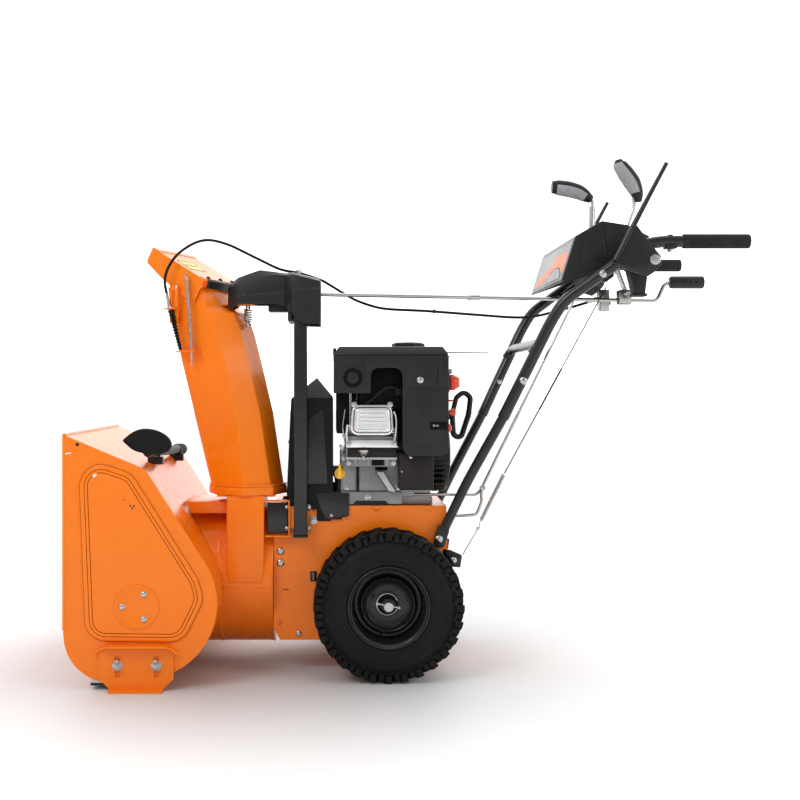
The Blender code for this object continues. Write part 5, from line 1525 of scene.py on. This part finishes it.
# ---------------------------------------------------------------- handlebars and controls
def build_handlebars():
    """Tubes, ears, saddles, grips and clutch levers of both handles."""
    lower_path = rounded(LOWER_HANDLE, 0.03, 8)
    upper_path = rounded(UPPER_HANDLE, 0.03, 10)
    for side, sign in SIDES:
        path_of = mirrored if sign < 0 else list
        out = (0, sign, 0)
        add(f"{side}_lower_tube", "root", "black_paint", sweep(path_of(lower_path), LOWER_TUBE, 24),
            replaces=[f"{side}_lower_handle"])
        add(f"{side}_upper_tube", "root", "black_paint", sweep(path_of(upper_path), UPPER_TUBE, 28),
            replaces=[f"{side}_upper_handle"])
        ear = [(x, y, z)
               for x, z in rounded_loop([(0.057, 0.289), (0.084, 0.286), (0.0985, 0.333), (0.0725, 0.341)],
                                        0.0105, steps=5)
               for y in (sign * 0.15, sign * 0.17)]
        add(f"{side}_handle_ears", "root", "black_paint", soft(hull(ear), 0.003, 3))
        bolts = dome_head((0.0725, sign * 0.17, 0.3065), out, 0.0092, 0.0045)
        bolts += dome_head((0.259, sign * 0.1998, 0.665), out, 0.0092, 0.005)
        bolts += hex_head((0.259, sign * 0.1745, 0.665), (0, -sign, 0), 0.0115, 0.005)
        bolts += dome_head((0.4285, sign * 0.2375, 0.901), out, 0.0085, 0.0045)
        bolts += dome_head((0.572, sign * 0.25, HANDLE_Z + 0.0128), UP, 0.007, 0.0035)
        bolts += hex_head((0.572, sign * 0.25, HANDLE_Z - 0.0165), DOWN, 0.0105, 0.006)
        add(f"{side}_handle_bolts", "root", "zinc_steel", *bolts)
        saddle = [(sign * 0.25 + a, HANDLE_Z + b)
                  for a, b in arc((0, 0), 0.013, 200, 340, 12) + [(0.0145, -0.0165), (-0.0145, -0.0165)]]
        add(f"{side}_handle_saddles", "root", "black_plastic",
            soft(prism(saddle, "x", 0.561, 0.584), 0.0008, 1))
        grip = [(0.6005, UPPER_TUBE + 0.0001), (0.6005, GRIP_RADIUS - 0.0006), (0.602, GRIP_RADIUS)]
        grip += [(0.743, GRIP_RADIUS), (0.746, GRIP_RADIUS - 0.0012), (0.7468, GRIP_RADIUS - 0.0036),
                 (0.7468, 0), (0.744, 0), (0.744, UPPER_TUBE + 0.0001)]
        add(f"{side}_grip_sleeve", "root", "grip_foam",
            lathe(grip, "x", (0, sign * 0.25, HANDLE_Z), 40), replaces=[f"{side}_grip"])
        build_clutch_lever(side, sign)


def build_clutch_lever(side, sign):
    """A bent plate with its coated bar, its pivot and the plate that holds it."""
    out = (0, sign, 0)
    body = f"{side}_clutch_lever"
    y = sign * LEVER_Y
    plate = [(0.444, 0.923), (0.492, 1.008), (0.527, 0.95), (0.547, 0.938), (0.547, 0.916), (0.533, 0.902),
             (0.518, 0.892), (0.4717, 0.9137)]
    low, high = y - 0.0016, y + 0.0016
    add(f"{side}_clutch_plate", body, "black_paint", pressing(plate, 0.0035, (low, high), 0.0008, steps=4))
    flange = hull([(x, yy, z)
                   for x, z in ((0.444, 0.9225), (0.448, 0.9205), (0.4935, 1.007), (0.4895, 1.009))
                   for yy in (y - sign * 0.014, y + sign * 0.0016)])
    add(f"{side}_clutch_plate", body, "black_paint", soft(flange, 0.0008),
        sweep([(0.4475, y, 0.927), (0.47, y, 0.97), (0.5, y, 1.0275), (0.53, y, 1.084), (0.5587, y, 1.1378)],
              [0.0062, 0.0064, 0.0058, 0.005, 0.0046], 18),
        place(lathe([(-0.001, 0), (-0.001, 0.005), (0.0008, 0.0047), (0.0022, 0.003), (0.0026, 0)], "z",
                    ORIGIN, 16),
              (0.559, y, 1.1385), (0.47, 0, 0.883)),
        replaces=[f"{side}_clutch_lever"])
    # painted shade: a small dark disc stands in for the shade inside a hole in the plate
    add(f"{side}_clutch_hole_shade", body, "dark_engine",
        place(rod("z", ORIGIN, 0, 0.0004, 0.0024, 16, 0.0001), (0.501, y + sign * 0.0016, 0.953), out))
    add(f"{side}_clutch_pivot", "root", "zinc_steel",
        place(lathe([(0, 0), (0, 0.0125), (0.002, 0.0128), (0.0055, 0.011), (0.0065, 0.006), (0.0066, 0)],
                    "z", ORIGIN, 32),
              (LEVER_PIVOT[0], y + sign * 0.002, LEVER_PIVOT[1]), out),
        place(rod("z", ORIGIN, 0, 0.03, 0.0048, 16),
              (LEVER_PIVOT[0], y - sign * 0.002, LEVER_PIVOT[1]), (0, -sign, 0)))
    arm = [(0.498, 0.95), (0.525, 0.956), (0.547, 0.938), (0.544, 0.916), (0.52, 0.914)]
    add(f"{side}_pivot_plate", "root", "black_paint",
        pressing(arm, 0.004, sorted((y - sign * 0.026, y - sign * 0.023)), 0.0008))


def build_handle_brace():
    """The bent bar between the two handles."""
    brace = rounded([(0.28, 0.1935, 0.726), (0.2905, 0.1895, 0.743), (0.2965, 0.168, 0.749),
                     (0.2965, 0, 0.749), (0.2965, -0.168, 0.749), (0.2905, -0.1895, 0.743),
                     (0.28, -0.1935, 0.726)],
                    0.014, 6)
    add("handle_brace_bar", "root", "black_paint", sweep(brace, 0.0115, 20), replaces=["handle_brace"])


def build_dash_body():
    """The hollow dash and what is moulded on its sides."""
    outline = [(0.345, 0.887), (0.377, 0.9905), (0.436, 1.024), (0.493, 1.015), (0.542, 0.99), (0.54, 0.955),
               (0.453, 0.925)]
    hollow = [(0.349, 0.86), (0.3795, 0.988), (0.4365, 1.0205), (0.4925, 1.0117), (0.5385, 0.988),
              (0.537, 0.86)]
    cutters = [prism(hollow, "y", -0.192, 0.192)]
    for x, y, _ in (SPEED_PIVOT, CHUTE_LEVER_PIVOT):
        middle = x + (0.012 if y < 0 else 0.001)
        cutters.append(box((middle - 0.026, y - 0.008, 0.98), (middle + 0.026, y + 0.008, 1.05), 0))
    shell = bmesh_cut(prism(outline, "y", -0.195, 0.195), cutters)
    add("dash_shell", "root", "black_plastic", soft(shell, 0.0016, 3), replaces=["dash_body"])
    for _, sign in SIDES:
        low, high = on_side(sign, 0.1945, 0.1972)
        inner = rounded_loop([(0.385, 0.926), (0.396, 0.982), (0.433, 1.004), (0.448, 0.942)], 0.004,
                             steps=3)
        add("dash_side_pressings", "root", "black_plastic", soft(prism(inner, "y", low, high), 0.0012, 2))
        inner = rounded_loop([(0.453, 0.944), (0.44, 1.006), (0.49, 0.999), (0.525, 0.972), (0.52, 0.96)],
                             0.004, steps=3)
        add("dash_side_pressings", "root", "black_plastic", soft(prism(inner, "y", low, high), 0.0012, 2))


def build_dash_face():
    """The front face plate with a plain striped pattern, and the slots on the top."""
    low_x, low_z, high_x, high_z = 0.345, 0.887, 0.377, 0.9905
    along = Vector((high_x - low_x, 0, high_z - low_z)).normalized()
    normal = Vector((-along.z, 0, along.x))

    def on_face(a, y, lift):
        return tuple(Vector((low_x, y, low_z)) + along * a + normal * lift)

    def plate(corners, lift, thick):
        return hull([on_face(a, y, t) for a, y in corners for t in (lift, lift + thick)])

    add("dash_face", "root", "panel_grey",
        soft(plate([(0.006, -0.19), (0.103, -0.19), (0.103, 0.19), (0.006, 0.19)], -0.0002, 0.0016), 0.0006))
    # plain shapes only: two slanted bands, an arch and a border
    border = 0.0042
    for low_a, high_a, low_y, high_y in (
        (0.01, 0.0112, -0.184, 0.184), (0.0978, 0.099, -0.184, 0.184),
        (0.01, 0.099, -0.184, border / 3 - 0.184), (0.01, 0.099, 0.184 - border / 3, 0.184)):
        add("dash_face_border", "root", "black_plastic",
            plate([(low_a, low_y), (high_a, low_y), (high_a, high_y), (low_a, high_y)], 0.0012, 0.0004))
    add("dash_face_bands", "root", "panel_orange",
        plate([(0.026, -0.172), (0.074, -0.172), (0.08, -0.03), (0.04, 0.0)], 0.0012, 0.0005),
        plate([(0.03, -0.01), (0.066, -0.03), (0.03, 0.15), (0.012, 0.162)], 0.0012, 0.0006))
    for grow, lift, material in ((0.003, 0.0016, "black_plastic"), (0.0, 0.002, "panel_grey")):
        arch = [(0.0125 + (0.03 + grow) * sin(pi * k / 20), -0.072 + (0.08 + 2 * grow) * cos(pi * k / 20))
                for k in range(21)]
        add(f"dash_face_arch_{material}", "root", material, plate(arch, lift, 0.0004))
    # slot surrounds on the top
    for x, y, _ in (SPEED_PIVOT, CHUTE_LEVER_PIVOT):
        middle = x + (0.012 if y < 0 else 0.001)
        top = 1.0245 - max(0.0, middle - 0.436) * 0.16
        add("dash_slot_frames", "root", "black_plastic",
            box((middle - 0.03, y - 0.0115, top - 0.006), (middle - 0.0262, y + 0.0115, top + 0.0008),
                0.0006, 1),
            box((middle + 0.0262, y - 0.0115, top - 0.015), (middle + 0.03, y + 0.0115, top - 0.005), 0.0006,
                1))


def build_dash_levers():
    """The stems of the two levers and their two-tone grips."""
    x, y, z = SPEED_PIVOT
    stem = rounded([(x, y, z), (x + 0.013, y, 1.0328), (x + 0.0297, y, 1.079), (x + 0.026, y, 1.1)], 0.01)
    add("speed_lever_stem", "speed_lever", "zinc_steel", sweep(stem, 0.0046, 16),
        rod("y", (x, y, z), -0.008, 0.008, 0.009, 20), replaces=["speed_lever"])
    spine = [(x + 0.037, y, 1.088), (x + 0.0345, y, 1.11), (x + 0.024, y, 1.134), (x + 0.009, y, 1.156),
             (x - 0.005, y, 1.176), (x - 0.009, y, 1.188)]
    lever_grip("speed_lever", spine, (0.0095, 0.0155, 0.02, 0.0195, 0.016, 0.0075))
    x, y, z = CHUTE_LEVER_PIVOT
    stem = rounded([(x + 0.003, y, 1.07), (x + 0.005, y, 1.108), (x + 0.001, y, 1.118)], 0.006)
    add("deflector_lever_stem", "deflector_lever", "zinc_steel",
        sweep([(x, y, z), (x + 0.0036, y, 1.096)], 0.0082, 18), sweep(stem, 0.0042, 14),
        rod("y", (x, y, z), -0.008, 0.008, 0.0095, 20), replaces=["deflector_lever"])
    spine = [(x + 0.002, y, 1.113), (x - 0.012, y, 1.122), (x - 0.029, y, 1.132), (x - 0.053, y, 1.139),
             (x - 0.078, y, 1.143), (x - 0.0955, y, 1.144)]
    lever_grip("deflector_lever", spine, (0.0095, 0.015, 0.018, 0.0192, 0.0185, 0.015))


def lever_grip(body, spine, halves):
    """A moulded grip along a spine, with lighter inserts on its front and lower faces."""
    spine = smooth_route(spine, 6)
    count = len(spine)

    def half_at(t):
        place_at = t * (len(halves) - 1)
        k = min(int(place_at), len(halves) - 2)
        return halves[k] + (halves[k + 1] - halves[k]) * (place_at - k)

    def skin(bm, start, end, low, high, extra):
        """The grip's skin between two shares of its length and two angles round it, raised by extra."""
        rings = []
        steps = 20
        for i in range(start, end + 1):
            t = i / (count - 1)
            before, after = Vector(spine[max(i - 1, 0)]), Vector(spine[min(i + 1, count - 1)])
            along = (after - before).normalized()
            side = Vector(RIGHT)
            up = along.cross(side).normalized()
            r = half_at(t) + extra
            ring = []
            for k in range(steps + 1):
                a = radians(low + (high - low) * k / steps)
                ring.append(Vector(spine[i]) + up * r * cos(a) + side * r * 0.8 * sin(a))
            rings.append([bm.verts.new(p) for p in ring])
        return rings

    def handle(bm):
        rings = skin(bm, 0, count - 1, 0, 342, 0.0)
        join_rings(bm, rings)
        bm.faces.new(rings[0])
        bm.faces.new(rings[-1][::-1])

    grip = new_solid(handle)
    add(f"{body}_grip", body, "black_plastic", grip, smooth=50)

    def insert(bm):
        first, last = int(count * 0.22), int(count * 0.86)
        outer = skin(bm, first, last, -104, 104, 0.001)
        inner = skin(bm, first, last, -104, 104, -0.001)
        for rings, flip in ((outer, False), (inner, True)):
            for a, b in zip(rings, rings[1:]):
                for k in range(len(a) - 1):
                    face = (a[k], a[k + 1], b[k + 1], b[k])
                    bm.faces.new(face[::-1] if flip else face)
        for k in range(len(outer[0]) - 1):
            for i in (0, -1):
                bm.faces.new((outer[i][k], outer[i][k + 1], inner[i][k + 1], inner[i][k]))
        for i in range(len(outer) - 1):
            for k in (0, -1):
                bm.faces.new((outer[i][k], outer[i + 1][k], inner[i + 1][k], inner[i][k]))

    add(f"{body}_grip_insert", body, "grip_insert", new_solid(insert), smooth=50)


def build_under_dash():
    """Crank rod holder, cable clamp and switch box hung under the dash."""
    y = CRANK_Y
    strap = [(0.485, 0.93), (0.499, 0.93), (0.518, 0.879), (0.529, 0.877), (0.529, 0.874), (0.515, 0.875),
             (0.496, 0.924), (0.485, 0.924)]
    tilt = (CRANK_REAR[1] - CRANK_FRONT[1]) / (CRANK_REAR[0] - CRANK_FRONT[0])
    rod_z = CRANK_FRONT[1] + tilt * (0.515 - CRANK_FRONT[0])
    add("crank_hanger", "root", "zinc_steel",
        soft(prism(strap, "y", y - 0.0145, y + 0.0145), 0.0008),
        box((0.5, y - 0.0145, rod_z - 0.0085), (0.529, y - 0.0115, 0.878), 0.0008),
        box((0.5, y + 0.0115, rod_z - 0.0085), (0.529, y + 0.0145, 0.878), 0.0008),
        box((0.5, y - 0.0145, rod_z - 0.0105), (0.529, y + 0.0145, rod_z - 0.0075), 0.0008),
        hex_head((0.514, y - 0.0145, 0.8695), LEFT, 0.008, 0.004), replaces=["crank_support"])
    add("cable_clamp", "root", "zinc_steel",
        box((0.46, -0.07, 0.831), (0.4625, -0.04, 0.88), 0.0008),
        box((0.46, -0.07, 0.8285), (0.483, -0.068, 0.88), 0.0008),
        box((0.46, -0.07, 0.878), (0.478, -0.04, 0.8806), 0.0008),
        hex_head((0.484, -0.06, 0.848), BACK, 0.0075, 0.004))
    add("cable_clamp", "root", "zinc_steel", rod("x", (0, -0.055, 0.858), 0.45, 0.472, 0.006, 20))
    switch = hull([(x, yy, z) for yy in (-0.185, -0.145)
                   for x, z in ((0.498, 0.923), (0.544, 0.923), (0.536, 0.859), (0.514, 0.857))])
    add("switch_box", "root", "black_plastic", soft(switch, 0.003, 3),
        box((0.51, -0.1865, 0.856), (0.54, -0.1435, 0.8625), 0.0012))
    for _, sign in SIDES:
        tab = [(0.42, 0.893), (0.456, 0.918), (0.464, 0.9), (0.43, 0.876)]
        add("dash_brackets", "root", "black_paint", pressing(tab, 0.003, on_side(sign, 0.19, 0.193), 0.0008))
        add("dash_brackets", "root", "black_paint",
            box((0.425, min(sign * 0.19, sign * 0.224), 0.885),
                (0.442, max(sign * 0.19, sign * 0.224), 0.8885), 0.001))


CAD_FINISHES = {"engine_block": "cast_grey", "belt_cover": "dark_cover"}


def soften_cad():
    """Rounds the edges of the CAD nodes that stay in view, and gives each its material."""
    widths = {"chute": 0.0009, "gear_cover": 0.003, "deflector": 0.002, "belt_cover": 0.0022,
              "muffler": 0.0015, "engine_block": 0.0012, "housing_shell": 0.001, "impeller_drum": 0.0009,
              "frame_body": 0.0009}
    slots = {part["node"]: part["material_slot"] for part in frame["record"]["subparts"]}
    for name, obj in frame["nodes"].items():
        mesh = obj.data
        mesh.materials.clear()
        mesh.materials.append(MATERIALS[CAD_FINISHES.get(name, slots[name])])
        custom = mesh.attributes.get("custom_normal")
        if custom:
            mesh.attributes.remove(custom)
        mesh.shade_smooth()
        weld = obj.modifiers.new("weld", "WELD")
        weld.merge_threshold = 1e-5
        bevel = obj.modifiers.new("bevel", "BEVEL")
        bevel.width = widths.get(name, 0.0007)
        bevel.segments = 2
        bevel.limit_method = "ANGLE"
        bevel.angle_limit = radians(32)
        bevel.harden_normals = True
        bevel.use_clamp_overlap = True


# ---------------------------------------------------------------- stage
def light(name, at, target, size, power, colour=(1, 1, 1)):
    """One soft rectangular lamp aimed at a target."""
    data = bpy.data.lights.new(name, "AREA")
    data.shape = "RECTANGLE"
    data.size, data.size_y = size
    data.energy = power
    data.color = colour
    obj = bpy.data.objects.new(name, data)
    obj.location = at
    obj.rotation_euler = (Vector(target) - Vector(at)).to_track_quat("-Z", "Y").to_euler()
    bpy.context.scene.collection.objects.link(obj)


def paint_floor_shadow(paint):
    """Paints a shadow into the floor's colour: a little darker under the object than further out."""
    nodes, links = paint.node_tree.nodes, paint.node_tree.links
    base = nodes["Principled BSDF"].inputs["Base Color"]
    coordinates = nodes.new("ShaderNodeTexCoord")
    distance = nodes.new("ShaderNodeVectorMath")
    distance.operation = "DISTANCE"
    distance.inputs[1].default_value = SHADE_CENTRE
    links.new(coordinates.outputs["Object"], distance.inputs[0])
    share = nodes.new("ShaderNodeMapRange")
    share.interpolation_type = "SMOOTHSTEP"
    for socket, number in (("From Min", SHADE_REACH[0]), ("From Max", SHADE_REACH[1]),
                           ("To Min", FLOOR_MIDDLE), ("To Max", 1.0)):
        share.inputs[socket].default_value = number
    links.new(distance.outputs["Value"], share.inputs["Value"])
    scaled = nodes.new("ShaderNodeVectorMath")
    scaled.operation = "SCALE"
    links.new(base.links[0].from_socket, scaled.inputs[0])
    links.new(share.outputs["Result"], scaled.inputs["Scale"])
    links.new(scaled.outputs["Vector"], base)


def build_floor():
    """A wide pale floor at the height of the ground, with a shadow painted under the machine."""
    def floor(bm):
        size = 30.0
        bm.faces.new([bm.verts.new((x, y, 0))
                      for x, y in ((-size, -size), (size, -size), (size, size), (-size, size))])

    mesh = bpy.data.meshes.new("floor")
    bm = new_solid(floor)
    bm.to_mesh(mesh)
    bm.free()
    obj = bpy.data.objects.new("floor", mesh)
    bpy.context.scene.collection.objects.link(obj)
    paint = finish_of("floor_paint", (0.9, 0.9, 0.9), 0.65, mottle=0.005)
    paint_floor_shadow(paint)
    mesh.materials.append(paint)


def build_world():
    """Light from all round, brighter from the far side of the machine."""
    world = bpy.data.worlds.new("studio")
    bpy.context.scene.world = world
    world.use_nodes = True
    nodes, links = world.node_tree.nodes, world.node_tree.links
    direction = nodes.new("ShaderNodeTexCoord")
    parts = nodes.new("ShaderNodeSeparateXYZ")
    links.new(direction.outputs["Generated"], parts.inputs["Vector"])
    brightness = nodes.new("ShaderNodeMapRange")
    brightness.interpolation_type = "SMOOTHSTEP"
    for socket, number in (("From Min", -0.5), ("From Max", 0.6), ("To Min", DIM_SIDE),
                           ("To Max", BRIGHT_SIDE)):
        brightness.inputs[socket].default_value = number
    links.new(parts.outputs["Y"], brightness.inputs["Value"])
    background = nodes["Background"]
    background.inputs["Color"].default_value = (1, 1, 1, 1)
    links.new(brightness.outputs["Result"], background.inputs["Strength"])


def build_lights():
    """Four soft lamps, all aimed at the middle of the machine."""
    middle = (-0.05, 0, 0.5)
    light("key", (-2.2, -2.6, 3.2), middle, (1.8, 1.2), 50)
    light("fill", (3.0, -2.2, 1.8), middle, (1.2, 1.8), 22)
    light("rim", (0.8, 2.8, 2.6), middle, (2.0, 1.2), 14)
    light("overhead", (0.0, -0.2, 3.8), middle, (2.4, 1.6), 10)


def place_camera():
    """A level camera at the near side, shifted to frame the machine as the photo does."""
    data = bpy.data.cameras.new("camera")
    data.lens = 51.75
    data.sensor_width = 36
    data.shift_x, data.shift_y = 0.0862, -0.015
    camera = bpy.data.objects.new("camera", data)
    camera.location = (-0.172, -2.775, 0.649)
    camera.rotation_euler = (radians(90), 0, 0)
    bpy.context.scene.collection.objects.link(camera)
    bpy.context.scene.camera = camera
    bpy.context.scene.view_settings.view_transform = "Standard"
    bpy.context.scene.view_settings.look = "None"


soften_cad()
build_housing()
build_drum_details()
build_cleanout_clips()
build_cleanout_tool()
build_chute_edges()
build_chute_collar()
build_chute_gear()
build_cable_bracket()
build_cable_bellows()
build_deflector_spring()
build_hinge_strip()
build_deflector_top()
build_gear_cover()
build_gear_seat()
build_chute_post()
build_crank_rod()
build_crank_grip()
build_cables()
build_frame_sides()
build_frame_covers()
build_shift_rod()
build_wheels()
build_belt_cover_details()
build_engine_hood()
build_starter_inlet()
build_hood_details()
build_fuel_cap()
build_valve_cover()
build_cylinder_head()
build_crankcase()
build_head_seat()
build_governor()
build_oil_filler()
build_starter_box()
build_recoil_starter()
build_engine_controls()
build_muffler_guard()
build_handlebars()
build_handle_brace()
build_dash_body()
build_dash_face()
build_dash_levers()
build_under_dash()
make_pieces()
build_floor()
build_world()
build_lights()
place_camera()
